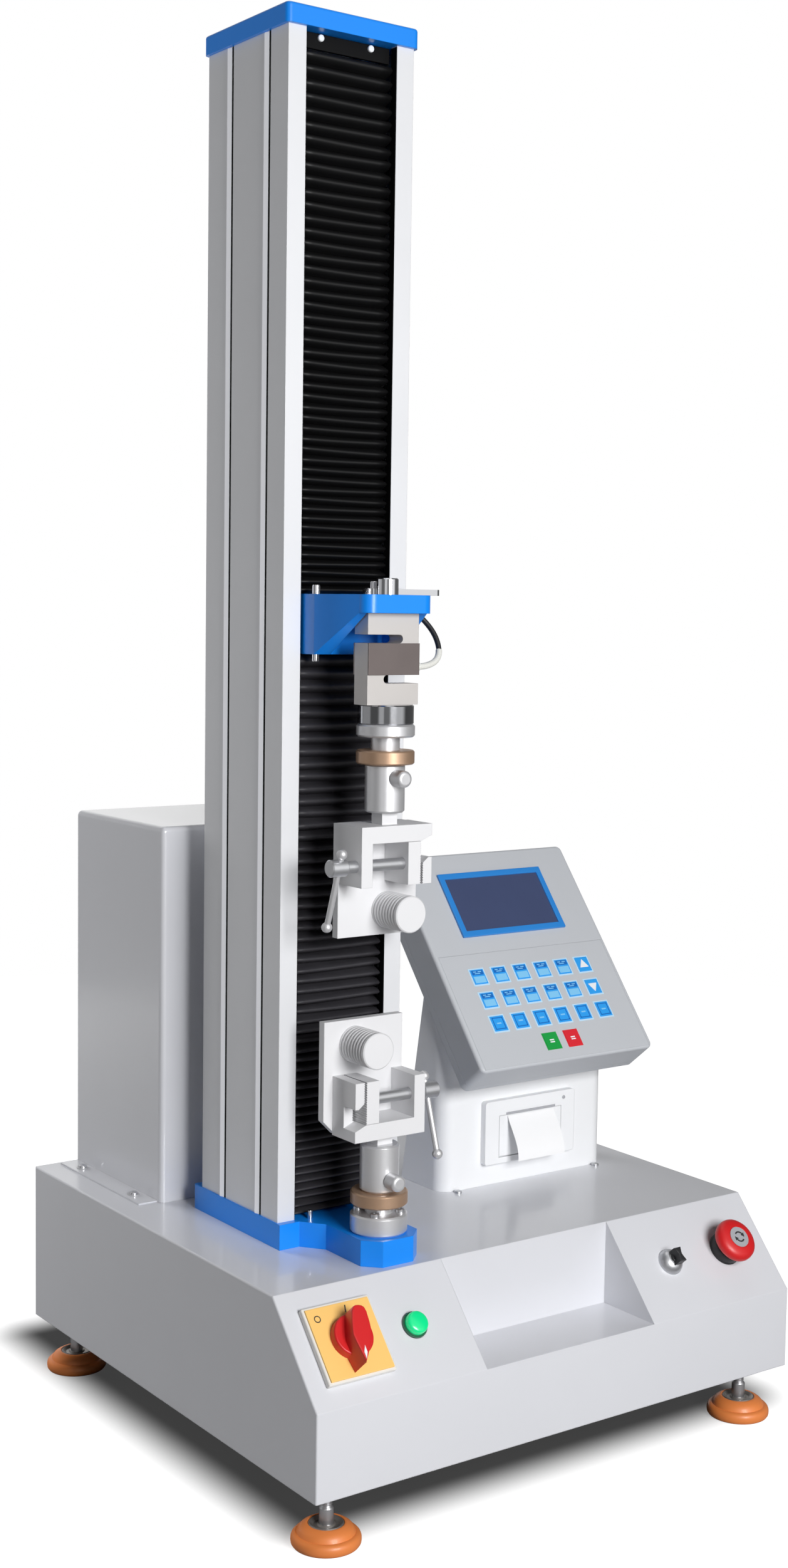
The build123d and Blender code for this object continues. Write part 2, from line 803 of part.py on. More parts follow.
cover_rise = slot_high - slot_low - cell_slot
with BuildPart() as load_cell_covers:
    for cover_plane in (cell_front, cell_front.offset(-cell_depth - cell_cover_thick)):
        with BuildSketch(cover_plane):
            with Locations((0, cell_height / 2)):
                Rectangle(cell_width, cover_rise)
        extrude(amount=cell_cover_thick)
save(load_cell_covers.part, "load_cell_covers")

lead_points = [Vector(*point) for point in lead_route]
lead_radii = []
for before, corner, after in zip(lead_points, lead_points[1:], lead_points[2:]):
    half_turn = math.radians((corner - before).get_angle(after - corner)) / 2
    shorter_run = min((corner - before).length, (after - corner).length)
    lead_radii.append(0.45 * shorter_run / math.tan(half_turn))
print("load cell lead bend radii:", [round(radius, 1) for radius in lead_radii])
with BuildPart() as load_cell_cable:
    with BuildLine() as lead_path:
        FilletPolyline(*lead_points, radius=lead_radii)
    with BuildSketch(Plane(origin=lead_points[0], z_dir=lead_points[1] - lead_points[0])):
        Circle(lead_radius)
    sweep(path=lead_path.wire())
    cell_side = Plane(
        origin=(column_x + cell_width / 2, load_axis_y, lead_points[0].Z),
        x_dir=(0, 1, 0),
        z_dir=(1, 0, 0),
    )
    with BuildSketch(cell_side):
        Circle(lead_gland_radius)
    extrude(amount=lead_gland_length)
save(load_cell_cable.part, "load_cell_cable")

with BuildPart() as upper_coupling:
    with BuildSketch(Plane.XY.offset(coupling_bottom_z)):
        with Locations(load_point):
            Circle(coupling_radius)
    extrude(amount=coupling_height)
    with BuildSketch(Plane.XY.offset(cell_bottom_z)):
        with Locations(load_point):
            Circle(cell_thread_radius)
    extrude(amount=cell_thread_depth - seat_fit)
    rims = upper_coupling.edges().filter_by(GeomType.CIRCLE).filter_by(
        lambda edge: edge.radius > coupling_radius - 0.1
    )
    chamfer(rims, length=coupling_radius / 25)
save(upper_coupling.part, "upper_coupling")

# Coupling and vice grip, made twice: the lower set is the upper one turned half round
fixed_jaw_left = grip_right - fixed_jaw_thick
jaw_right = fixed_jaw_left - jaw_gap
jaw_left = jaw_right - jaw_thick
window_left = -grip_left + grip_leg
jaw_top = -grip_bar - free_gap
jaw_bottom = -grip_reach
frame_plate = (
    (-grip_left, -grip_plate_length),
    (grip_plate_right, -grip_plate_length),
    (grip_plate_right, -grip_plate_corner),
    (grip_plate_right - grip_plate_corner, 0),
    (-grip_left, 0),
)
frame_window = (
    (window_left, -grip_reach - 1),
    (fixed_jaw_left, -grip_reach - 1),
    *teeth(
        fixed_jaw_left, fixed_jaw_left + jaw_tooth, -grip_reach, -grip_bar, jaw_tooth_count
    ),
    (window_left, -grip_bar),
)
frame_notch = (
    (jaw_right, -grip_notch_bottom - grip_notch_chamfer),
    (fixed_jaw_left + grip_notch_chamfer, -grip_notch_bottom),
    (grip_right + 1, -grip_notch_bottom),
    (grip_right + 1, -grip_ear_edge),
    (grip_right, -grip_ear_edge),
    (jaw_right, -grip_bar),
)
grip_sets = (
    ("upper", 1, upper_grip_z, upper_stub, upper_neck, upper_flange_thick, upper_head_gap),
    ("lower", -1, lower_grip_z, lower_stub, lower_neck, lower_flange_thick, lower_head_gap),
)
for level, turn, grip_z, stub, neck, flange_thick, head_gap in grip_sets:
    grip = grip_plane(grip_z, turn)
    front = grip.offset(grip_half_depth)
    screw_point = grip.from_local_coords((0, -clamp_screw_down, clamp_screw_front))
    screw_line = Plane(origin=screw_point, x_dir=grip.z_dir, z_dir=grip.x_dir)
    head_end = -grip_left - head_gap
    bar_x = head_end - clamp_head_length + bar_from_head_end
    lean = math.radians(bar_lean)
    bar_line = Plane(
        origin=grip.from_local_coords((bar_x, -clamp_screw_down, clamp_screw_front)),
        x_dir=(1, 0, 0),
        z_dir=(0, turn * math.sin(lean), -math.cos(lean)),
    )
    socket_end = stub + socket_length
    nut_end = socket_end + lock_nut_height
    pin_y = socket_end - pin_from_nut

    with BuildPart() as grip_frame:
        with BuildSketch(grip.offset(-grip_half_depth)):
            Polygon(*frame_plate)
        extrude(amount=-grip_plate_thick)
        with BuildSketch(front):
            with Locations(((grip_right - grip_left) / 2, -grip_reach / 2)):
                Rectangle(grip_left + grip_right, grip_reach)
            Polygon(*frame_window, mode=Mode.SUBTRACT)
        extrude(amount=-2 * grip_half_depth)
        with BuildSketch(front):
            Polygon(*frame_notch)
        extrude(amount=-grip_notch_depth, mode=Mode.SUBTRACT)
        with BuildSketch(screw_line.offset(-grip_left)):
            Circle(clamp_screw_radius + run_fit)
        extrude(amount=grip_leg, mode=Mode.SUBTRACT)
        with BuildSketch(Plane(grip.origin, x_dir=grip.x_dir, z_dir=grip.y_dir)):
            Rectangle(stub_square, stub_square)
        extrude(amount=stub)
        with BuildSketch(Plane(grip.origin, x_dir=grip.x_dir, z_dir=grip.y_dir)):
            Circle(tenon_radius)
        extrude(amount=stub + tenon_length - seat_fit)
    save(grip_frame.part, f"{level}_grip_frame")

    with BuildPart() as bollard:
        groove_tips = teeth(
            bollard_radius,
            bollard_radius - bollard_groove,
            bollard_groove_pitch,
            bollard_groove_pitch * (bollard_groove_count + 1),
            bollard_groove_count,
        )
        bollard_base = Plane(
            origin=grip.from_local_coords((bollard_radius, -bollard_from_end, -grip_half_depth)),
            x_dir=grip.x_dir,
            z_dir=-grip.y_dir,
        )
        with BuildSketch(bollard_base):
            Polygon(
                (0, 0),
                (bollard_radius, 0),
                *groove_tips,
                (bollard_radius, bollard_length),
                (0, bollard_length),
            )
        revolve(axis=Axis(bollard_base.origin, bollard_base.y_dir))
        face_rim = bollard.edges().filter_by(GeomType.CIRCLE).sort_by(Axis.Y)[0]
        fillet(face_rim, radius=bollard_groove)
    save(bollard.part, f"{level}_bollard")

    with BuildPart() as jaw:
        with BuildSketch(front):
            Polygon(
                (jaw_left, jaw_bottom),
                *teeth(jaw_right, jaw_right - jaw_tooth, jaw_bottom, jaw_top, jaw_tooth_count),
                (jaw_left, jaw_top),
            )
        extrude(amount=-2 * grip_half_depth + free_gap)
        with BuildSketch(screw_line.offset(jaw_left)):
            Circle(clamp_screw_radius + run_fit)
        extrude(amount=clamp_screw_seat, mode=Mode.SUBTRACT)
    save(jaw.part, f"{level}_jaw")

    with BuildPart() as clamp_screw:
        with BuildSketch(screw_line.offset(head_end)):
            Circle(clamp_screw_radius)
        extrude(amount=jaw_left + clamp_screw_seat - seat_fit - head_end)
        with BuildSketch(screw_line.offset(head_end)):
            Circle(clamp_head_radius)
        extrude(amount=-clamp_head_length)
        rims = clamp_screw.edges().filter_by(GeomType.CIRCLE).filter_by(
            lambda edge: edge.radius > clamp_head_radius - 0.1
        )
        chamfer(rims, length=clamp_head_chamfer)
        with BuildSketch(bar_line.offset(-clamp_head_radius)):
            Circle(bar_radius + run_fit)
        extrude(amount=2 * clamp_head_radius, mode=Mode.SUBTRACT)
    save(clamp_screw.part, f"{level}_clamp_screw")

    bar_stop = clamp_head_radius + bar_ball_radius + free_gap
    with BuildPart(bar_line) as tommy_bar:
        with Locations((0, 0, bar_span / 2 - bar_stop)):
            Cylinder(bar_radius, bar_span)
        with Locations((0, 0, -bar_stop), (0, 0, bar_span - bar_stop)):
            Sphere(bar_ball_radius)
    save(tommy_bar.part, f"{level}_tommy_bar")

    with BuildPart() as socket:
        with BuildSketch(grip):
            with Locations((0, stub)):
                Rectangle(socket_radius, socket_length, align=(Align.MIN, Align.MIN))
            with Locations((0, socket_end)):
                Rectangle(
                    spigot_radius + seat_fit,
                    spigot_length + free_gap,
                    align=(Align.MIN, Align.MAX),
                    mode=Mode.SUBTRACT,
                )
            with Locations((0, stub)):
                Rectangle(
                    tenon_radius + seat_fit,
                    tenon_length,
                    align=(Align.MIN, Align.MIN),
                    mode=Mode.SUBTRACT,
                )
        revolve(axis=load_axis)
        rims = socket.edges().filter_by(GeomType.CIRCLE).filter_by(
            lambda edge: edge.radius > socket_radius - 0.1
        )
        chamfer(rims, length=socket_chamfer)
        with BuildSketch(grip.offset(socket_radius)):
            with Locations((0, pin_y)):
                Circle(pin_radius + run_fit)
        extrude(amount=-2 * socket_radius, mode=Mode.SUBTRACT)
    save(socket.part, f"{level}_socket")

    with BuildPart() as flange:
        with BuildSketch(grip):
            with Locations((0, nut_end + neck)):
                Rectangle(flange_radius, flange_thick, align=(Align.MIN, Align.MIN))
            with Locations((0, socket_end)):
                Rectangle(neck_radius, lock_nut_height + neck, align=(Align.MIN, Align.MIN))
                Rectangle(spigot_radius, spigot_length, align=(Align.MIN, Align.MAX))
        revolve(axis=load_axis)
        rims = flange.edges().filter_by(GeomType.CIRCLE).filter_by(
            lambda edge: edge.radius > flange_radius - 0.1
        )
        chamfer(rims, length=socket_chamfer)
        with BuildSketch(grip.offset(socket_radius)):
            with Locations((0, pin_y)):
                Circle(pin_radius + run_fit)
        extrude(amount=-2 * socket_radius, mode=Mode.SUBTRACT)
    save(flange.part, f"{level}_flange")

    with BuildPart() as lock_nut:
        with BuildSketch(grip):
            with Locations((neck_radius + run_fit, socket_end)):
                Rectangle(
                    flange_radius - neck_radius - run_fit,
                    lock_nut_height,
                    align=(Align.MIN, Align.MIN),
                )
        revolve(axis=load_axis)
        rims = lock_nut.edges().filter_by(GeomType.CIRCLE).filter_by(
            lambda edge: edge.radius > flange_radius - 0.1
        )
        chamfer(rims, length=lock_nut_chamfer)
    save(lock_nut.part, f"{level}_lock_nut")

    with BuildPart() as coupling_pin:
        pin_seat = socket_radius + free_gap
        with BuildSketch(grip.offset(pin_seat)):
            with Locations((0, pin_y)):
                Circle(pin_radius)
        extrude(amount=-2 * socket_radius - pin_tail)
        with BuildSketch(grip.offset(pin_seat)):
            with Locations((0, pin_y)):
                Circle(pin_head_radius)
        extrude(amount=pin_head_length)
        fillet(
            coupling_pin.edges().filter_by(GeomType.CIRCLE).sort_by(Axis.Y)[0],
            radius=pin_head_rounding,
        )
    save(coupling_pin.part, f"{level}_pin")

# Console: hollow pedestal, tilted housing and its back cover
tilt = math.radians(console_tilt)
console_edge = (console_x, console_edge_y, console_edge_z)
panel = Plane(origin=console_edge, x_dir=(1, 0, 0), z_dir=(0, -math.sin(tilt), math.cos(tilt)))
console_thick = console_front_thick + console_back_thick
back_line_y = console_edge_y + console_thick * math.sin(tilt)
back_line_z = console_edge_z - console_thick * math.cos(tilt)


def housing_back_z(y):
    """Height of the tilted housing's back face at y."""
    return back_line_z + (y - back_line_y) * math.tan(tilt)


pedestal_top_y = (pedestal_front_y + pedestal_rear_y) / 2
pedestal_outline = (
    (pedestal_front_y, base_top_z),
    (pedestal_front_y, housing_back_z(pedestal_front_y)),
    (pedestal_top_y, housing_back_z(pedestal_top_y)),
    (pedestal_rear_y, base_top_z),
)
printer_z = base_top_z + printer_up
printer_plane = upright_plane(console_x, pedestal_front_y, printer_z)
with BuildPart() as console_pedestal:
    with BuildSketch(side_plane(console_x - pedestal_width / 2)):
        Polygon(*pedestal_outline)
    extrude(amount=pedestal_width)
    front_edges = console_pedestal.edges().filter_by(Axis.Z).group_by(Axis.Y)[0]
    fillet(front_edges, radius=pedestal_corner)
    offset(amount=-console_wall, openings=console_pedestal.faces().sort_by(Axis.Z)[0])
    with BuildSketch(printer_plane):
        Rectangle(printer_body[0] + 2 * free_gap, printer_body[1] + 2 * free_gap)
    extrude(amount=-2 * console_wall, mode=Mode.SUBTRACT)
save(console_pedestal.part, "console_pedestal")

with BuildPart() as console_housing:
    with BuildSketch(panel):
        with Locations((0, console_length / 2)):
            RectangleRounded(console_width, console_length, console_corner)
    extrude(amount=-console_front_thick)
    fillet(console_housing.faces().sort_by(normal_of(panel))[-1].edges(), radius=console_edge_radius)
    with BuildSketch(panel.offset(-console_wall)):
        with Locations((0, console_length / 2)):
            RectangleRounded(
                console_width - 2 * console_wall,
                console_length - 2 * console_wall,
                console_corner - console_wall,
            )
    extrude(amount=console_wall - console_front_thick, mode=Mode.SUBTRACT)
    with BuildSketch(panel):
        with Locations((0, display_up)):
            Rectangle(
                display_width - display_border,
                display_height - display_border,
            )
    extrude(amount=-2 * console_wall, mode=Mode.SUBTRACT)
save(console_housing.part, "console_housing")

with BuildPart() as console_back_cover:
    with BuildSketch(panel.offset(-console_front_thick)):
        with Locations((0, console_length / 2)):
            RectangleRounded(console_width, console_length, console_corner)
    extrude(amount=-console_back_thick)
    fillet(console_back_cover.faces().sort_by(normal_of(panel))[0].edges(), radius=console_wall / 2)
    with BuildSketch(panel.offset(-console_front_thick)):
        with Locations((0, console_length / 2)):
            RectangleRounded(
                console_width - 2 * console_wall,
                console_length - 2 * console_wall,
                console_corner - console_wall,
            )
    extrude(amount=console_wall - console_back_thick, mode=Mode.SUBTRACT)
save(console_back_cover.part, "console_back_cover")

with BuildPart() as display_module:
    with BuildSketch(panel):
        with Locations((0, display_up)):
            Rectangle(display_width, display_height)
    extrude(amount=display_thick)
    with BuildSketch(panel.offset(display_thick)):
        with Locations((0, display_up)):
            Rectangle(
                display_width - 2 * display_border,
                display_height - 2 * display_border,
            )
    extrude(amount=-display_recess, mode=Mode.SUBTRACT)
    with BuildSketch(panel):
        with Locations((0, display_up)):
            Rectangle(
                display_width - display_border - 2 * free_gap,
                display_height - display_border - 2 * free_gap,
            )
    extrude(amount=-2 * console_wall)
    bezel_rim = display_module.faces().sort_by(normal_of(panel))[-1].outer_wire().edges()
    chamfer(bezel_rim, length=display_recess)
save(display_module.part, "display_module")

key_places = []
for row in range(3):
    for column in range(key_columns):
        key_x = (column - (key_columns - 1) / 2) * key_pitch_x
        key_places.append((key_x, key_rows_up - row * key_pitch_y))
for start_stop in (-0.5, 0.5):
    key_places.append((start_stop * key_pitch_x, key_rows_up - 3 * key_pitch_y))
with BuildPart() as keypad_membrane:
    with BuildSketch(panel):
        with Locations((0, membrane_up)):
            RectangleRounded(membrane_width, membrane_height, console_edge_radius)
    extrude(amount=membrane_thick)
    with BuildSketch(panel.offset(membrane_thick)):
        with Locations(*key_places):
            Rectangle(key_size, key_size)
    extrude(amount=key_rise)
save(keypad_membrane.part, "keypad_membrane")

# Paper printer let into the pedestal's front, with a door on two pins
door_plane = printer_plane.offset(printer_proud)
door_bottom = -door_down - door_height / 2
door_hinge = (0, door_bottom + door_thick / 2, printer_proud - door_thick / 2)
hinge_line = Plane(
    origin=printer_plane.from_local_coords(door_hinge), x_dir=(0, 1, 0), z_dir=(1, 0, 0)
)
pin_span = door_width + 2 * door_pin_length
with BuildPart() as printer_frame:
    with BuildSketch(printer_plane):
        RectangleRounded(printer_width, printer_height, printer_corner)
    extrude(amount=printer_proud)
    with BuildSketch(printer_plane):
        Rectangle(printer_body[0], printer_body[1])
    extrude(amount=-printer_body[2])
    with BuildSketch(door_plane):
        with Locations((0, -door_down)):
            Rectangle(door_width + 2 * free_gap, door_height + 2 * free_gap)
    extrude(amount=-door_thick - 2 * free_gap, mode=Mode.SUBTRACT)
    with BuildSketch(door_plane.offset(-door_thick)):
        with Locations((0, -door_down)):
            Rectangle(printer_roll[0], printer_roll[1])
    extrude(amount=-printer_roll[2], mode=Mode.SUBTRACT)
    with BuildSketch(hinge_line.offset(-pin_span / 2 - free_gap)):
        Circle(door_pin_radius + run_fit)
    extrude(amount=pin_span + 2 * free_gap, mode=Mode.SUBTRACT)
save(printer_frame.part, "printer_frame")

with BuildPart() as printer_door:
    with BuildSketch(door_plane):
        with Locations((0, -door_down)):
            Rectangle(door_width, door_height)
    extrude(amount=-door_thick)
    bottom_edges = printer_door.edges().filter_by(Axis.X).group_by(Axis.Z)[0]
    fillet(bottom_edges, radius=0.49 * door_thick)
    with BuildSketch(hinge_line.offset(-pin_span / 2)):
        Circle(door_pin_radius)
    extrude(amount=pin_span)
save(printer_door.part, "printer_door")

# Controls on the sloped panel
isolator_plane = slope_plane(isolator_x)
with BuildPart() as power_switch_plate:
    with BuildSketch(isolator_plane):
        RectangleRounded(isolator_size, isolator_size, isolator_corner)
    extrude(amount=isolator_thick)
    with BuildSketch(isolator_plane):
        Circle(control_barrel_radius)
    extrude(amount=-control_barrel_length)
    with BuildSketch(isolator_plane.offset(isolator_thick)):
        Circle(isolator_shaft_radius + run_fit)
    extrude(amount=-isolator_shaft_length - free_gap, mode=Mode.SUBTRACT)
save(power_switch_plate.part, "power_switch_plate")

knob_plane = isolator_plane.offset(isolator_thick + free_gap)
with BuildPart() as power_switch_knob:
    with BuildSketch(knob_plane):
        Circle(isolator_disc_radius)
    extrude(amount=isolator_disc_rise)
    with BuildSketch(knob_plane):
        Polygon(
            (0, -isolator_bar_tip),
            (isolator_bar_belly / 2, -isolator_belly_drop),
            (isolator_bar_head / 2, isolator_bar_top - isolator_bar_crown),
            (isolator_bar_head / 4, isolator_bar_top),
            (-isolator_bar_head / 4, isolator_bar_top),
            (-isolator_bar_head / 2, isolator_bar_top - isolator_bar_crown),
            (-isolator_bar_belly / 2, -isolator_belly_drop),
            rotation=-isolator_bar_turn,
            align=None,
        )
    extrude(amount=isolator_disc_rise + isolator_bar_rise)
    with BuildSketch(knob_plane):
        Circle(isolator_shaft_radius)
    extrude(amount=-isolator_shaft_length)
save(power_switch_knob.part, "power_switch_knob")

lamp_plane = slope_plane(lamp_x)
with BuildPart() as pilot_lamp:
    with BuildSketch(lamp_plane):
        Circle(lamp_bezel_radius)
    extrude(amount=lamp_bezel_rise)
    with BuildSketch(lamp_plane.offset(lamp_bezel_rise)):
        Circle(lamp_radius)
    extrude(amount=lamp_rise - lamp_bezel_rise)
    lens_rim = pilot_lamp.faces().sort_by(normal_of(lamp_plane))[-1].edges()
    fillet(lens_rim, radius=(lamp_rise - lamp_bezel_rise) / 2)
    with BuildSketch(lamp_plane):
        Circle(control_barrel_radius)
    extrude(amount=-control_barrel_length)
save(pilot_lamp.part, "pilot_lamp")

selector_plane = slope_plane(selector_x)
with BuildPart() as selector_bezel:
    with BuildSketch(selector_plane):
        Circle(selector_bezel_radius)
    extrude(amount=selector_bezel_rise)
    dome_rim = selector_bezel.faces().sort_by(normal_of(selector_plane))[-1].edges()
    fillet(dome_rim, radius=selector_dome_rounding)
    with BuildSketch(selector_plane):
        Circle(control_barrel_radius)
    extrude(amount=-control_barrel_length)
    with BuildSketch(selector_plane.offset(selector_bezel_rise)):
        Circle(selector_shaft_radius + run_fit)
    extrude(amount=-selector_shaft_length - free_gap, mode=Mode.SUBTRACT)
save(selector_bezel.part, "selector_bezel")

lever_plane = selector_plane.offset(selector_bezel_rise + free_gap)
lever_quarter = (selector_lever_end / 2, selector_lever_length / 2)
with BuildPart() as selector_lever:
    with BuildSketch(lever_plane):
        Polygon(
            (-lever_quarter[0], -lever_quarter[1]),
            (lever_quarter[0], -lever_quarter[1]),
            (selector_lever_waist / 2, 0),
            lever_quarter,
            (-lever_quarter[0], lever_quarter[1]),
            (-selector_lever_waist / 2, 0),
        )
    extrude(amount=selector_lever_rise)
    with BuildSketch(lever_plane):
        Circle(selector_shaft_radius)
    extrude(amount=-selector_shaft_length)
save(selector_lever.part, "selector_lever")

estop_plane = slope_plane(estop_x)
with BuildPart() as estop_collar:
    with BuildSketch(estop_plane):
        Circle(estop_collar_radius)
    extrude(amount=estop_collar_rise)
    collar_rim = estop_collar.faces().sort_by(normal_of(estop_plane))[-1].edges()
    chamfer(collar_rim, length=estop_collar_radius / 15)
    with BuildSketch(estop_plane):
        Circle(control_barrel_radius)
    extrude(amount=-control_barrel_length)
    with BuildSketch(estop_plane.offset(estop_collar_rise)):
        Circle(estop_stem_radius + run_fit)
    extrude(amount=-estop_stem_depth - estop_travel - free_gap, mode=Mode.SUBTRACT)
save(estop_collar.part, "estop_collar")

estop_top = estop_plane.offset(estop_collar_rise + estop_travel + free_gap)
with BuildPart() as estop_plunger:
    with BuildSketch(estop_top):
        Circle(estop_stem_radius)
    extrude(amount=-estop_travel - free_gap - estop_stem_depth)
    with BuildSketch(estop_top):
        Circle(estop_hub_radius)
    extrude(amount=estop_hub_depth)
save(estop_plunger.part, "estop_plunger")

with BuildPart() as estop_head:
    with BuildSketch(estop_top):
        Circle(estop_head_radius)
    extrude(amount=estop_head_thick)
    crown = estop_head.faces().sort_by(normal_of(estop_plane))[-1].edges()
    fillet(crown, radius=estop_head_rounding)
    with BuildSketch(estop_top):
        Circle(estop_hub_radius + run_fit)
    extrude(amount=estop_hub_depth + free_gap, mode=Mode.SUBTRACT)
save(estop_head.part, "estop_head")
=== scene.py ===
"""Looks of a single-column bench testing machine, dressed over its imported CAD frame.

Every length is in metres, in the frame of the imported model: +X is the operator's right,
+Y is towards the back and +Z is up.
"""

from __future__ import annotations

import logging
import math
from abc import ABC, abstractmethod
from dataclasses import dataclass, replace
from enum import Enum
from typing import Iterable, Sequence

import bmesh
import bpy
from mathutils import Matrix, Vector

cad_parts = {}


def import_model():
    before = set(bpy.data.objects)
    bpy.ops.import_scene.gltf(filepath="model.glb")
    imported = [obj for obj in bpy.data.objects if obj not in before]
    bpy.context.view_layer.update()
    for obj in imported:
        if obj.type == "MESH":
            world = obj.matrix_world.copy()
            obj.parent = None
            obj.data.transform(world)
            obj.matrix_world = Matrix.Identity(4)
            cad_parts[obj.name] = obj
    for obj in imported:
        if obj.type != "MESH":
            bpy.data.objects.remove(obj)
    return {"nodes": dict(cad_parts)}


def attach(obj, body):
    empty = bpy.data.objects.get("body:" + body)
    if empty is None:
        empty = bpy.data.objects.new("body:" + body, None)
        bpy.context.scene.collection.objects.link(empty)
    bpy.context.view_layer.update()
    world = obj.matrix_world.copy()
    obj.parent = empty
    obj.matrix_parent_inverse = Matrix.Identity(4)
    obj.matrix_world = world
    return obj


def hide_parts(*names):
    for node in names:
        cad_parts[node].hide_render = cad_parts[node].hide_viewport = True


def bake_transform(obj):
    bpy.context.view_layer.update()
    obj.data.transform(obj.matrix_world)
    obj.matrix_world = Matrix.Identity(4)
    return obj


LOG = logging.getLogger("testing_machine")
Colour = tuple[float, float, float]
Point = tuple[float, float, float]
Outline = Sequence[tuple[float, float]]
Feeds = dict[str | int, object]

AXIS_X = -0.132
AXIS_Y = -0.148
COLUMN_FRONT = -0.087
DECK_Z = 0.197
PLATE_Z = 0.219
CROSSHEAD_Z = 0.753
BRACKET_Z = 0.703
CREASE = 38.0


def srgb(red: int, green: int, blue: int) -> Colour:
    """Turn screen values from 0 to 255 into linear light.

    Args:
        red: Screen red.
        green: Screen green.
        blue: Screen blue.

    Returns:
        The three linear values.
    """
    def linear(value: int) -> float:
        """One channel in linear light."""
        share = value / 255
        return share / 12.92 if share <= 0.04045 else ((share + 0.055) / 1.055) ** 2.4

    return linear(red), linear(green), linear(blue)


def placed(origin: Sequence[float], x_dir: Sequence[float], z_dir: Sequence[float]) -> Matrix:
    """Build the matrix of a local frame.

    Args:
        origin: Where the frame stands.
        x_dir: Direction of its first axis.
        z_dir: Direction of its third axis.

    Returns:
        A 4 by 4 matrix from that frame to the model's.
    """
    x_axis = Vector(x_dir).normalized()
    z_axis = Vector(z_dir).normalized()
    y_axis = z_axis.cross(x_axis)
    turn = Matrix((x_axis, y_axis, z_axis)).transposed().to_4x4()
    return Matrix.Translation(Vector(origin)) @ turn


def shift(x: float = 0.0, y: float = 0.0, z: float = 0.0) -> Matrix:
    """A plain move."""
    return Matrix.Translation((x, y, z))


def spin(angle: float) -> Matrix:
    """A turn round Z by an angle in radians."""
    return Matrix.Rotation(angle, 4, "Z")


def in_scene(name: str, data: bpy.types.ID) -> bpy.types.Object:
    """Make an object and link it into the scene.

    Args:
        name: Name of the object.
        data: Its mesh, curve, camera or light.

    Returns:
        The object.
    """
    made = bpy.data.objects.new(name, data)
    bpy.context.scene.collection.objects.link(made)
    return made


def meshed(name: str, part: bmesh.types.BMesh) -> bpy.types.Mesh:
    """Turn a bmesh into a mesh and let the bmesh go.

    Args:
        name: Name of the mesh.
        part: The shape.

    Returns:
        The mesh.
    """
    mesh = bpy.data.meshes.new(name)
    part.to_mesh(mesh)
    part.free()
    return mesh


def smooth(mesh: bpy.types.Mesh, crease: float) -> None:
    """Shade a mesh smoothly, apart from edges that turn by more than a crease angle in degrees."""
    mesh.polygons.foreach_set("use_smooth", [True] * len(mesh.polygons))
    mesh.set_sharp_from_angle(angle=math.radians(crease))


def feed(tree: bpy.types.NodeTree, node: bpy.types.Node, feeds: Feeds) -> None:
    """Give inputs of a node a value or another node's output.

    Args:
        tree: The tree that holds the node.
        node: The node.
        feeds: What each input gets, by its name or index.
    """
    for key, value in feeds.items():
        if isinstance(value, bpy.types.NodeSocket):
            tree.links.new(value, node.inputs[key])
        else:
            node.inputs[key].default_value = value


def add_node(tree: bpy.types.NodeTree, kind: str, feeds: Feeds | None = None,
             **options: object) -> bpy.types.Node:
    """Add a shader node, set its options and feed its inputs.

    Args:
        tree: The tree that gets the node.
        kind: Blender's type name after its ShaderNode prefix.
        feeds: What each input gets, by its name or index.
        options: Settings of the node itself.

    Returns:
        The node.
    """
    node = tree.nodes.new(f"ShaderNode{kind}")
    for option, value in options.items():
        setattr(node, option, value)
    feed(tree, node, feeds or {})
    return node


class Grain(Enum):
    """How a surface's fine structure is stretched along X, Y and Z."""

    EVEN = (1.0, 1.0, 1.0)
    UPRIGHT = (1.0, 1.0, 0.015)
    RINGS = (0.03, 0.03, 1.0)
    ACROSS = (0.02, 1.0, 1.0)


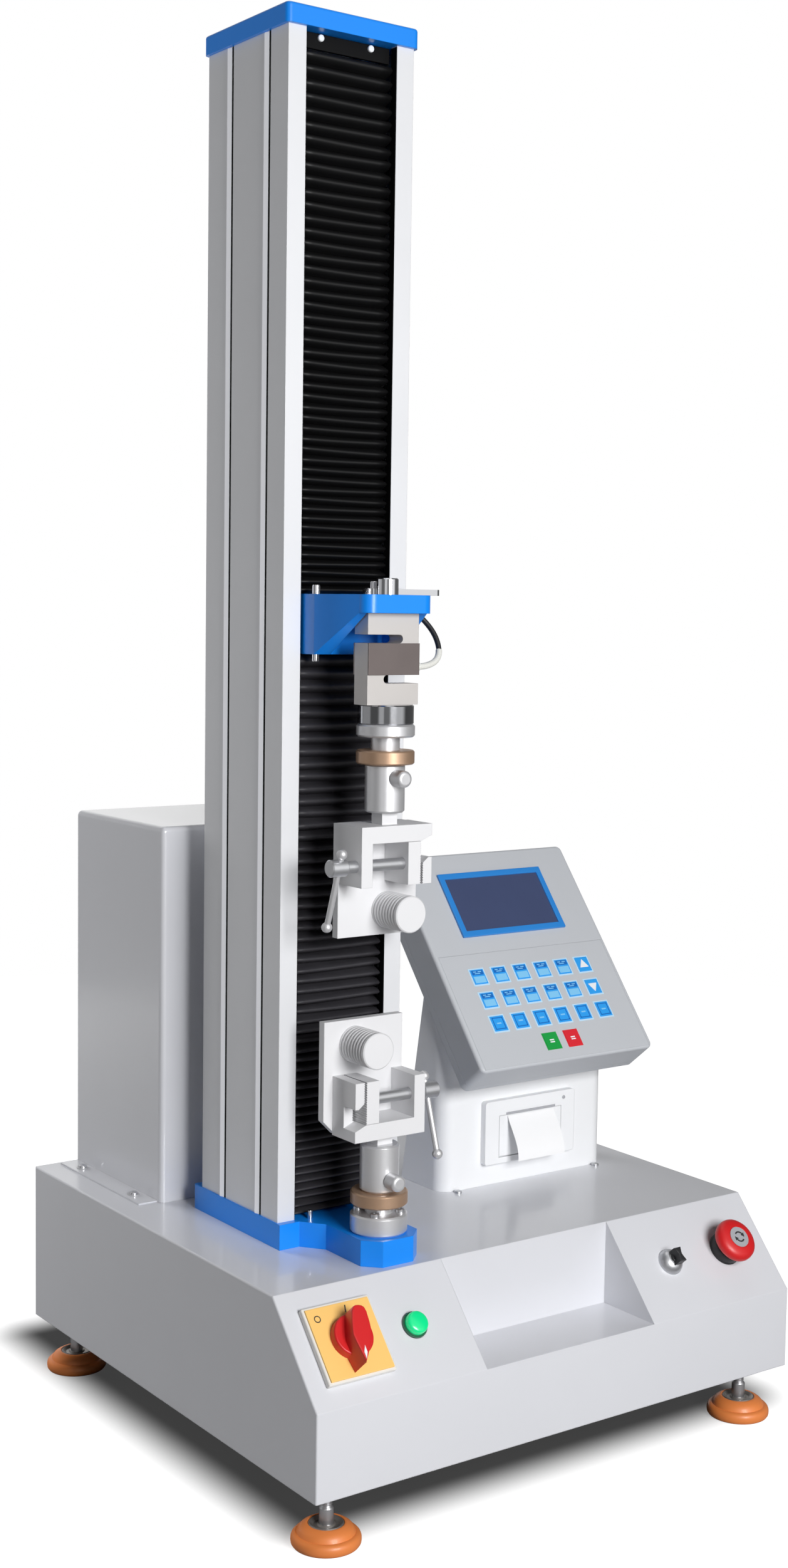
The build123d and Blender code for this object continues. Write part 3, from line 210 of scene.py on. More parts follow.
@dataclass(frozen=True)
class Finish:
    """One surface finish and the node material that it makes."""

    name: str
    colour: Colour
    roughness: float
    metallic: float = 0.0
    grain: Grain = Grain.EVEN
    grain_scale: float = 900.0
    grain_depth: float = 0.00003
    tint: float = 0.05
    tint_scale: float = 14.0
    coat: float = 0.0
    glow: float = 0.0
    clear: float = 0.0
    edge: float = 0.0
    shine: float = 0.5
    rough_swing: float = 0.06

    def material(self) -> bpy.types.Material:
        """Make the node material once, and give it back after that.

        Returns:
            The material that is named after this finish.
        """
        label = f"{self.name}_finish"
        known = bpy.data.materials.get(label)
        if known is not None:
            return known
        material = bpy.data.materials.new(label)
        material.use_nodes = True
        tree = material.node_tree
        place = add_node(tree, "TexCoord").outputs["Object"]
        cloud = add_node(tree, "TexNoise", {"Vector": place, "Scale": self.tint_scale, "Detail": 4.0})
        dark = (*(c * (1 - self.tint) for c in self.colour), 1.0)
        light = (*(min(1, c * (1 + self.tint)) for c in self.colour), 1.0)
        blend = add_node(tree, "Mix", {0: cloud.outputs["Fac"], 6: dark, 7: light}, data_type="RGBA")
        stretch = add_node(tree, "Mapping", {"Vector": place, "Scale": self.grain.value})
        fine = add_node(tree, "TexNoise", {"Vector": stretch.outputs["Vector"], "Scale": self.grain_scale,
                                           "Detail": 3.0}).outputs["Fac"]
        swing = add_node(tree, "MapRange", {"Value": fine,
                                            "To Min": max(0.02, self.roughness - self.rough_swing),
                                            "To Max": min(1.0, self.roughness + self.rough_swing)})
        bump = add_node(tree, "Bump", {"Strength": 0.6, "Distance": self.grain_depth, "Height": fine})
        if self.edge:
            soften = add_node(tree, "Bevel", {"Radius": self.edge}, samples=4)
            feed(tree, bump, {"Normal": soften.outputs["Normal"]})
        shader = tree.nodes["Principled BSDF"]
        feed(tree, shader, {
            "Base Color": blend.outputs[2], "Roughness": swing.outputs["Result"],
            "Normal": bump.outputs["Normal"], "Metallic": self.metallic, "Specular IOR Level": self.shine,
            "Coat Weight": self.coat, "Coat Roughness": 0.12, "Transmission Weight": self.clear})
        if self.glow:
            feed(tree, shader, {"Emission Color": (*self.colour, 1.0), "Emission Strength": self.glow})
        return material


CABINET_PAINT = Finish("cabinet_paint", srgb(222, 223, 228), 0.32, grain_scale=1400, tint=0.02, coat=0.5,
                       edge=0.0012)
COVER_PAINT = replace(CABINET_PAINT, name="cover_paint", roughness=0.3, coat=1.0)
ANODISED = Finish("column_anodised", srgb(226, 227, 230), 0.5, metallic=0.1, grain=Grain.UPRIGHT,
                  grain_scale=1500, grain_depth=0.00002, tint=0.03, edge=0.0006)
# Painted highlight: a faint glow on the groove flanks stands in for the light that grazes them.
GROOVE_PAINTED_GLINT = Finish("groove_painted_glint", srgb(226, 227, 232), 0.4, metallic=0.1, grain=Grain.UPRIGHT,
                      grain_scale=1500, tint=0.03, glow=0.3)
BLUE_PAINT = Finish("blue_enamel", srgb(10, 140, 248), 0.34, grain_scale=1100, coat=0.1, edge=0.001)
# Painted light and shade: both bellows are the same black cloth, given a darker and a lighter copy for
# how the light falls on each.
UPPER_CLOTH_PAINTED_SHADE = Finish("upper_cloth_painted_shade", srgb(15, 15, 16), 0.48, grain_scale=2600, grain_depth=0.00005,
                     tint=0.25, tint_scale=60, shine=0.25)
LOWER_CLOTH_PAINTED_LIGHT = replace(UPPER_CLOTH_PAINTED_SHADE, name="lower_cloth_painted_light", colour=srgb(53, 52, 56))
# Black for the bellows guides and top bar; the same black fills the column's grooves as painted shade.
GUIDE_BLACK_AND_GROOVE_SHADE = replace(UPPER_CLOTH_PAINTED_SHADE, name="guide_black_and_painted_groove_shade", colour=srgb(5, 5, 6), roughness=0.6,
                      grain_depth=0.0001, shine=0.12)
GRIP_SILVER = Finish("grip_silver", srgb(228, 228, 230), 0.55, metallic=0.05, grain_scale=2200,
                     grain_depth=0.00004, tint=0.03, edge=0.0006)
GROUND_STEEL = Finish("ground_steel", srgb(212, 212, 214), 0.36, metallic=0.6, grain=Grain.RINGS,
                      grain_scale=2400, grain_depth=0.00002, edge=0.0004)
SATIN_STEEL = Finish("satin_steel", srgb(196, 197, 200), 0.34, metallic=0.9, grain_scale=1500,
                     grain_depth=0.00002)
BRIGHT_STEEL = Finish("bright_steel", srgb(216, 216, 220), 0.16, metallic=1.0, grain=Grain.RINGS,
                      grain_scale=1800, grain_depth=0.00001, tint=0.04)
CHROME = Finish("chrome_plate", srgb(220, 221, 224), 0.1, metallic=1.0, grain_scale=300,
                grain_depth=0.00001, tint=0.02, rough_swing=0.03)
# Painted shade: chrome darkened all over to stand in for the darker surroundings that the coupling
# mirrors.
CHROME_PAINTED_SHADE = replace(CHROME, name="chrome_with_painted_shade", colour=srgb(164, 165, 168))
CELL_NICKEL = Finish("cell_nickel", srgb(200, 196, 193), 0.42, metallic=0.45, grain=Grain.ACROSS,
                     grain_scale=2200, grain_depth=0.00002, tint=0.04, edge=0.0005)
COVER_STEEL = Finish("cover_steel", srgb(122, 113, 111), 0.32, metallic=0.9, grain=Grain.ACROSS,
                     grain_scale=2600, grain_depth=0.00002, tint=0.12, tint_scale=30, edge=0.0004)
BRONZE = Finish("turned_bronze", srgb(184, 152, 126), 0.38, metallic=0.6, grain=Grain.RINGS,
                grain_scale=2000, tint=0.12, tint_scale=40, edge=0.0004)
PAD_ORANGE = Finish("pad_orange", srgb(236, 138, 72), 0.44, grain_scale=1600, tint=0.07, coat=0.1)
CUP_STEEL = Finish("cup_steel", srgb(150, 146, 142), 0.38, metallic=0.7, grain=Grain.RINGS, tint=0.15)
SWITCH_YELLOW = Finish("switch_yellow", srgb(255, 206, 120), 0.4, tint=0.03, coat=0.1)
CLEAR_PLASTIC = Finish("clear_plastic", srgb(250, 247, 242), 0.2, clear=0.15, tint=0.01)
SIGNAL_RED = Finish("signal_red", srgb(212, 26, 30), 0.42, tint=0.06, coat=0.08)
LAMP_GREEN = Finish("lamp_green", srgb(4, 206, 128), 0.24, tint=0.1, coat=0.3, glow=0.4)
LAMP_BEZEL = Finish("lamp_bezel_green", srgb(18, 92, 62), 0.35, coat=0.3)
BLACK_PLASTIC = Finish("black_plastic", srgb(28, 28, 31), 0.45, grain_scale=1800, tint=0.1)
# Grey for the release disc and printer lamp; also the painted shade of the paper slot.
GREY_AND_SLOT_SHADE = Finish("grey_and_painted_slot_shade", srgb(170, 171, 176), 0.5)
CONSOLE_GREY = Finish("console_grey", srgb(198, 201, 206), 0.5, grain_scale=2000, grain_depth=0.00006,
                      tint=0.02, edge=0.001)
CONSOLE_WHITE = replace(CONSOLE_GREY, name="console_white", colour=srgb(240, 241, 243), roughness=0.46,
                        grain_depth=0.00005, tint=0.015)
KEY_BLUE = Finish("key_blue", srgb(48, 164, 246), 0.4, coat=0.1)
KEY_GREEN = replace(KEY_BLUE, name="key_green", colour=srgb(18, 158, 66))
KEY_RED = replace(KEY_BLUE, name="key_red", colour=srgb(222, 40, 52))
KEY_HALO = Finish("key_halo", srgb(196, 228, 248), 0.5, tint=0.02)
KEY_FIELD = Finish("key_field", srgb(134, 206, 250), 0.45, tint=0.03)
KEY_DEEP = Finish("key_deep_blue", srgb(22, 108, 192), 0.42)
PRINT_WHITE = Finish("print_white", srgb(244, 247, 250), 0.5, tint=0.01)
BEZEL_BLUE = Finish("bezel_blue", srgb(46, 138, 220), 0.32, tint=0.04, coat=0.2)
SCREEN_SLATE = Finish("screen_slate", srgb(66, 77, 112), 0.3, tint=0.08, tint_scale=22)
PAPER = Finish("printer_paper", srgb(248, 248, 249), 0.85, grain_scale=3000, tint=0.015)
DARK_GAP = Finish("dark_gap", srgb(34, 34, 37), 0.7, tint=0.1)
JACKET_WHITE = Finish("jacket_white", srgb(226, 226, 220), 0.5)
JACKET_BLACK = Finish("jacket_black", srgb(26, 26, 28), 0.42, tint=0.1, coat=0.1)
CAST_BLACK = Finish("cast_black", srgb(36, 36, 38), 0.55, tint=0.15)


class Shaper:
    """Gathers bevelled slabs, prisms and turned shapes into one mesh."""

    def __init__(self) -> None:
        """Start with an empty mesh."""
        self.whole = bmesh.new()

    def keep(self, part: bmesh.types.BMesh, at: Matrix) -> None:
        """Merge, place and add one part, then let it go.

        Args:
            part: The shape in its own frame.
            at: From that frame to the model's.
        """
        bmesh.ops.remove_doubles(part, verts=part.verts, dist=1e-6)
        bmesh.ops.recalc_face_normals(part, faces=part.faces)
        bmesh.ops.transform(part, matrix=at, verts=part.verts)
        carrier = meshed("carrier", part)
        self.whole.from_mesh(carrier)
        bpy.data.meshes.remove(carrier)

    @staticmethod
    def _soften(part: bmesh.types.BMesh, edges: Iterable, amount: float, steps: int) -> None:
        """Round some edges of a part."""
        bmesh.ops.bevel(part, geom=list(edges), offset=amount, offset_type="OFFSET",
                        affect="EDGES", segments=steps, profile=0.5, material=-1)

    def slab(self, size: Sequence[float], at: Matrix, soft: float = 0.0, steps: int = 2) -> Shaper:
        """Add a block that is centred on its frame.

        Args:
            size: Lengths along the frame's X, Y and Z.
            at: From the block's frame to the model's.
            soft: Radius of its rounded edges.
            steps: Segments of that radius.

        Returns:
            This shaper.
        """
        part = bmesh.new()
        bmesh.ops.create_cube(part, size=1.0)
        bmesh.ops.scale(part, vec=Vector(size), verts=part.verts)
        if soft:
            self._soften(part, part.edges, soft, steps)
        self.keep(part, at)
        return self

    def prism(self, outline: Outline, depth: float, at: Matrix, soft: float = 0.0,
              crown: float = 0.0) -> Shaper:
        """Add a flat outline raised along its frame's Z.

        Args:
            outline: Corners in the frame's X and Y.
            depth: Height of the prism.
            at: From the outline's frame to the model's.
            soft: Radius of the upright corners.
            crown: Radius of the top rim.

        Returns:
            This shaper.
        """
        part = bmesh.new()
        base = part.faces.new([part.verts.new((x, y, 0.0)) for x, y in outline])
        raised = bmesh.ops.extrude_face_region(part, geom=[base])
        lifted = [item for item in raised["geom"] if isinstance(item, bmesh.types.BMVert)]
        bmesh.ops.translate(part, vec=(0.0, 0.0, depth), verts=lifted)
        if soft:
            upright = [e for e in part.edges if abs(e.verts[0].co.z - e.verts[1].co.z) > depth / 2]
            self._soften(part, upright, soft, 3)
        if crown:
            rim = [e for e in part.edges if all(v.co.z > depth - 1e-7 for v in e.verts)
                   and len(e.link_faces) == 2]
            self._soften(part, rim, crown, 2)
        self.keep(part, at)
        return self

    def turned(self, outline: Outline, at: Matrix, steps: int = 56) -> Shaper:
        """Add a lathe shape round its frame's Z.

        Args:
            outline: Points as radius and height.
            at: From the shape's frame to the model's.
            steps: Facets round the axis.

        Returns:
            This shaper.
        """
        part = bmesh.new()
        points = [part.verts.new((radius, 0.0, height)) for radius, height in outline]
        edges = [part.edges.new(pair) for pair in zip(points, points[1:])]
        bmesh.ops.spin(part, geom=points + edges, cent=(0, 0, 0), axis=(0, 0, 1),
                       angle=math.tau, steps=steps, use_merge=True)
        self.keep(part, at)
        return self

    def piece(self, name: str, finish: Finish, body: str, slot: str = "",
              stands_for: Sequence[str] = ()) -> bpy.types.Object:
        """Turn the gathered mesh into an object that rides on a body.

        Args:
            name: Name of the piece.
            finish: Its surface.
            body: The CAD body that carries it.
            slot: Not used.
            stands_for: CAD nodes that it is shown in place of.

        Returns:
            The object, at the origin, with its place in its mesh.
        """
        mesh = meshed(name, self.whole)
        smooth(mesh, CREASE)
        shown = in_scene(name, mesh)
        shown.modifiers.new("flat_faces_first", "WEIGHTED_NORMAL").keep_sharp = True
        mesh.materials.append(finish.material())
        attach(shown, body)
        if stands_for:
            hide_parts(*stands_for)
        LOG.info("piece %s on %s", name, body)
        return shown


def ring(outer: float, inner: float, low: float, high: float, soft: float = 0.0003) -> Outline:
    """Closed half section of a ring with slightly broken rims.

    Args:
        outer: Outside radius.
        inner: Inside radius.
        low: Lower height.
        high: Upper height.
        soft: Size of the broken rims.

    Returns:
        Points as radius and height, back to the first one.
    """
    return ((inner, low), (outer - soft, low), (outer, low + soft), (outer, high - soft),
            (outer - soft, high), (inner, high), (inner, low))


def button(radius: float, low: float, high: float, soft: float) -> Outline:
    """Half section of a closed disc with a rounded upper rim.

    Args:
        radius: Outside radius.
        low: Lower height.
        high: Upper height.
        soft: Radius of the rounding.

    Returns:
        Points as radius and height, from the axis to the axis.
    """
    arc = [(radius - soft + soft * math.cos(a), high - soft + soft * math.sin(a))
           for a in (math.radians(15 * step) for step in range(7))]
    return ((0.0, low), (radius, low), *arc, (0.0, high))


def socket_screw(radius: float, height: float) -> Outline:
    """Half section of a cap screw's head with its drive recess.

    Args:
        radius: Head radius.
        height: Head height.

    Returns:
        Points as radius and height, from the axis to the axis.
    """
    return ((0.0, -0.001), (radius, -0.001), (radius, height * 0.85), (radius * 0.88, height),
            (radius * 0.52, height), (radius * 0.5, height * 0.45), (0.0, height * 0.4))


@dataclass
class Assembly(ABC):
    """A sub-assembly that dresses its nodes of the frame and adds pieces of its own."""

    nodes: dict[str, bpy.types.Object]

    def paint(self, finish: Finish, *names: str) -> None:
        """Give CAD nodes that stay in view a finish.

        Args:
            finish: The surface to give.
            names: Which nodes get it.
        """
        for name in names:
            worn = self.nodes[name].data.materials
            worn.clear()
            worn.append(finish.material())
            LOG.info("finish %s on %s", finish.name, name)

    @abstractmethod
    def build(self) -> None:
        """Dress the whole sub-assembly."""


@dataclass(frozen=True)
class Lamp:
    """One soft square lamp, with its power in watts and whether shiny surfaces show it."""

    name: str
    at: Point
    aim: Point
    size: float
    power: float
    mirrored: bool = True

    def hang(self) -> None:
        """Put the lamp into the scene, facing its aim."""
        data = bpy.data.lights.new(self.name, "AREA")
        data.size, data.energy = self.size, self.power
        hung = in_scene(self.name, data)
        hung.visible_glossy = self.mirrored
        hung.location = self.at
        hung.rotation_mode = "QUATERNION"
        hung.rotation_quaternion = (Vector(self.aim) - Vector(self.at)).to_track_quat("-Z", "Y")


@dataclass
class Studio:
    """Camera, lights, floor and background."""

    place: Point = (-1.0728, -1.4737, 0.7411)
    heading: float = 35.63
    dip: float = 5.06
    roll: float = 0.0147
    lens: float = 45.26
    sensor: float = 36.0
    nearest: float = 0.05
    farthest: float = 60.0
    lamps: tuple[Lamp, ...] = (Lamp("key", (-0.24, -2.3, 1.08), (0.0, -0.1, 0.25), 0.9, 52.0),
                               Lamp("rim", (-1.0, 2.2, 0.9), (-0.15, 0.1, 0.7), 1.0, 42.0, False),
                               Lamp("top", (0.3, 0.3, 2.8), (0.0, 0.0, 0.6), 1.4, 4.0))
    ambient: float = 0.03
    bands: Outline = (
        (0.0, 0.15), (1.0, 0.15), (0.06, 0.15), (0.085, 0.8), (0.125, 0.8), (0.135, 0.3), (0.19, 0.3),
        (0.215, 1.0), (0.35, 1.0), (0.4, 0.12), (0.58, 0.15), (0.62, 0.45), (0.65, 0.5), (0.67, 1.0),
        (0.72, 1.0), (0.8, 0.2), (0.845, 0.35), (0.86, 0.5), (0.96, 0.5), (0.975, 0.15))
    floor_radius: float = 2.2
    floor_pale: float = 0.4
    # Painted shadow: the floor is darkened inside this box round the base, brightening over shade_reach
    # outside it.
    shade_middle: Point = (0.019, 0.0675, 0.0)
    shade_half: Point = (0.239, 0.2475, 0.1)
    shade_reach: float = 0.07
    shade_deepest: float = 0.045

    def camera(self) -> None:
        """Set the camera at the viewpoint of the photograph."""
        turn, down = math.radians(self.heading), math.radians(self.dip)
        ahead = Vector((math.sin(turn) * math.cos(down), math.cos(turn) * math.cos(down),
                        -math.sin(down)))
        right = Vector((math.cos(turn), -math.sin(turn), 0.0))
        above = right.cross(ahead)
        rolled = right * math.cos(self.roll) + above * math.sin(self.roll)
        data = bpy.data.cameras.new("viewpoint")
        data.lens, data.sensor_width, data.sensor_fit = self.lens, self.sensor, "AUTO"
        data.clip_start, data.clip_end = self.nearest, self.farthest
        seat = in_scene("viewpoint", data)
        seat.matrix_world = placed(self.place, rolled, -ahead)
        bpy.context.scene.camera = seat

    @staticmethod
    def seen_directly(tree: bpy.types.NodeTree) -> bpy.types.NodeSocket:
        """Add nodes that are 1 for camera, glossy and transmission rays.

        Args:
            tree: The tree that gets the nodes.

        Returns:
            The output to read.
        """
        path = add_node(tree, "LightPath")
        seen = path.outputs["Is Camera Ray"]
        for ray in ("Is Glossy Ray", "Is Transmission Ray"):
            seen = add_node(tree, "Math", {0: seen, 1: path.outputs[ray]}, operation="MAXIMUM").outputs[0]
        return seen

    def surround(self) -> None:
        """Make the white background, with the bands that shiny surfaces mirror."""
        world = bpy.data.worlds.new("surround")
        bpy.context.scene.world = world
        world.use_nodes = True
        tree = world.node_tree
        soft = tree.nodes["Background"]
        feed(tree, soft, {"Color": (0.96, 0.97, 1.0, 1.0), "Strength": self.ambient})
        place = add_node(tree, "TexCoord")
        around = add_node(tree, "TexGradient", {"Vector": place.outputs["Generated"]},
                          gradient_type="RADIAL")
        bands = add_node(tree, "ValToRGB", {"Fac": around.outputs["Fac"]})
        for spot, _ in self.bands[2:]:
            bands.color_ramp.elements.new(spot)
        for element, (spot, level) in zip(bands.color_ramp.elements, sorted(self.bands)):
            element.position, element.color = spot, (level, level, level, 1.0)
        path = add_node(tree, "LightPath")
        shown = add_node(tree, "Math", {0: path.outputs["Is Camera Ray"], 1: bands.outputs["Color"]},
                         operation="MAXIMUM")
        white = add_node(tree, "Background", {"Color": (1.0, 1.0, 1.0, 1.0),
                                              "Strength": shown.outputs[0]})
        choose = add_node(tree, "MixShader", {0: self.seen_directly(tree), 1: soft.outputs[0],
                                              2: white.outputs[0]})
        feed(tree, tree.nodes["World Output"], {"Surface": choose.outputs[0]})

    def floor(self) -> None:
        """Lay the pale floor, which keeps the real shadow and also carries a painted shadow round the
        base.
        """
        part = bmesh.new()
        bmesh.ops.create_circle(part, cap_ends=True, segments=64, radius=self.floor_radius)
        floor = in_scene("floor", meshed("floor", part))
        floor.data.materials.append(self.floor_material())

    def floor_material(self) -> bpy.types.Material:
        """Make a pale matt floor whose far part is lifted into the background, darkened by a painted
        shadow round the base.

        Returns:
            The floor's material.
        """
        material = bpy.data.materials.new("pale_floor")
        material.use_nodes = True
        tree = material.node_tree
        tree.nodes.remove(tree.nodes["Principled BSDF"])
        still = (0.0, 0.0, 0.0)
        span = add_node(tree, "TexCoord").outputs["Object"]
        for operation, values in (("SUBTRACT", self.shade_middle), ("ABSOLUTE", still),
                                  ("SUBTRACT", self.shade_half), ("MAXIMUM", still)):
            step = add_node(tree, "VectorMath", {0: span, 1: values}, operation=operation)
            span = step.outputs["Vector"]
        away = add_node(tree, "VectorMath", {0: span}, operation="LENGTH").outputs["Value"]
        # Painted shadow: 1 away from the base, down to shade_deepest inside the box; it scales the
        # floor's colour and its lift.
        painted_shadow = add_node(tree, "MapRange", {"Value": away, "From Max": self.shade_reach,
                                           "To Min": self.shade_deepest},
                        interpolation_type="SMOOTHSTEP").outputs["Result"]
        pale = add_node(tree, "Math", {0: painted_shadow, 1: self.floor_pale}, operation="MULTIPLY")
        matt = add_node(tree, "BsdfDiffuse", {"Color": pale.outputs[0]})
        path = add_node(tree, "LightPath")
        only = add_node(tree, "Math", {0: painted_shadow, 1: path.outputs["Is Camera Ray"]}, operation="MULTIPLY")
        lift = add_node(tree, "Emission", {"Strength": only.outputs[0]})
        both = add_node(tree, "AddShader", {0: matt.outputs[0], 1: lift.outputs[0]})
        feed(tree, tree.nodes["Material Output"], {"Surface": both.outputs[0]})
        return material

    def build(self) -> None:
        """Set up the camera, a key from the front, a rim from behind, a weak top and the surround."""
        bpy.context.scene.view_settings.view_transform = "Standard"
        self.camera()
        for lamp in self.lamps:
            lamp.hang()
        self.surround()
        self.floor()


@dataclass
class Feet(Assembly):
    """Levelling feet: an orange pad, a dished steel cup and a bright stud on each."""

    reach_x: float = 0.230
    reach_y: float = 0.220
    pad: Outline = (
        (0.0, 0.0), (0.0255, 0.0), (0.0272, 0.0006), (0.0282, 0.0020), (0.0285, 0.0040), (0.0284, 0.0062),
        (0.0277, 0.0082), (0.0264, 0.0096), (0.0247, 0.0102), (0.0238, 0.0103), (0.0234, 0.0112),
        (0.0226, 0.0130), (0.0212, 0.0147), (0.0194, 0.0160), (0.0174, 0.0171), (0.0158, 0.0177),
        (0.0149, 0.0175), (0.0147, 0.0150), (0.0, 0.0150))
    cup: Outline = (
        (0.0058, 0.0152), (0.0145, 0.0152), (0.0145, 0.0172), (0.0138, 0.0179), (0.0128, 0.0176),
        (0.0104, 0.0158), (0.0078, 0.0160), (0.0066, 0.0172), (0.0058, 0.0172), (0.0058, 0.0152))
    stud_radius: float = 0.0049
    thread_from: float = 0.0322
    thread_pitch: float = 0.0015
    thread_depth: float = 0.0006
    crests: int = 14

    def stud(self) -> Outline:
        """Half section of the stud: a collar, a cone, then thread crests up into the cabinet.

        Returns:
            Points as radius and height, from the axis to the axis.
        """
        points = [(0.0, 0.0153), (0.0059, 0.0153), (0.0060, 0.0180), (0.0060, 0.0296),
                  (0.0057, 0.0303), (self.stud_radius, 0.0312)]
        root = self.stud_radius - self.thread_depth
        for crest in range(self.crests):
            low = self.thread_from + crest * self.thread_pitch
            points += [(root, low), (self.stud_radius, low + self.thread_pitch / 2)]
        top = self.thread_from + self.crests * self.thread_pitch
        return (*points, (root, top), (0.0, top))

    def build(self) -> None:
        """Dress the four feet."""
        for side, x in (("left", -self.reach_x), ("right", self.reach_x)):
            for end, y in (("front", -self.reach_y), ("rear", self.reach_y)):
                body = f"foot_{end}_{side}"
                for part, outline, finish, slot, replaced in (
                        ("pad", self.pad, PAD_ORANGE, "foot_orange", (f"levelling_{body}",)),
                        ("cup", self.cup, CUP_STEEL, "ground_steel", ()),
                        ("stud", self.stud(), SATIN_STEEL, "chromed_steel", ())):
                    foot = Shaper().turned(outline, shift(x, y))
                    foot.piece(f"{body}_{part}", finish, body, slot, replaced)


@dataclass
class Cabinet(Assembly):
    """Base cabinet, motor cover and what is screwed to the deck."""

    cover_left: float = -0.216
    cover_right: float = -0.048
    cover_screws_y: tuple[float, float] = (0.112, 0.216)
    flange_mid: float = 0.0098
    flange: float = 0.0015
    screw_radius: float = 0.0042
    screw_height: float = 0.0031
    washer: float = 0.0008

    def build(self) -> None:
        """Paint the sheet metal and set the cover's screws."""
        self.paint(CABINET_PAINT, "base_cabinet")
        self.paint(COVER_PAINT, "motor_cover")
        self.paint(GROUND_STEEL, "base_floor_plate", "drive_electronics", "motor_pulley", "screw_pulley")
        self.paint(CAST_BLACK, "drive_motor", "drive_belt")
        heads, washers = Shaper(), Shaper()
        for x in (self.cover_left - self.flange_mid, self.cover_right + self.flange_mid):
            for y in self.cover_screws_y:
                at = shift(x, y, DECK_Z + self.flange)
                washer = ring(self.screw_radius * 1.35, self.screw_radius * 0.5, 0.0, self.washer)
                washers.turned(washer, at, 32)
                heads.turned(button(self.screw_radius, 0.0006, self.screw_height, 0.0016), at, 32)
                heads.slab((0.0046, 0.0009, 0.0005), at @ shift(z=self.screw_height), 0.0001)
        heads.piece("cover_screws", BRIGHT_STEEL, "frame", "chromed_steel")
        washers.piece("cover_washers", GROUND_STEEL, "frame", "ground_steel")


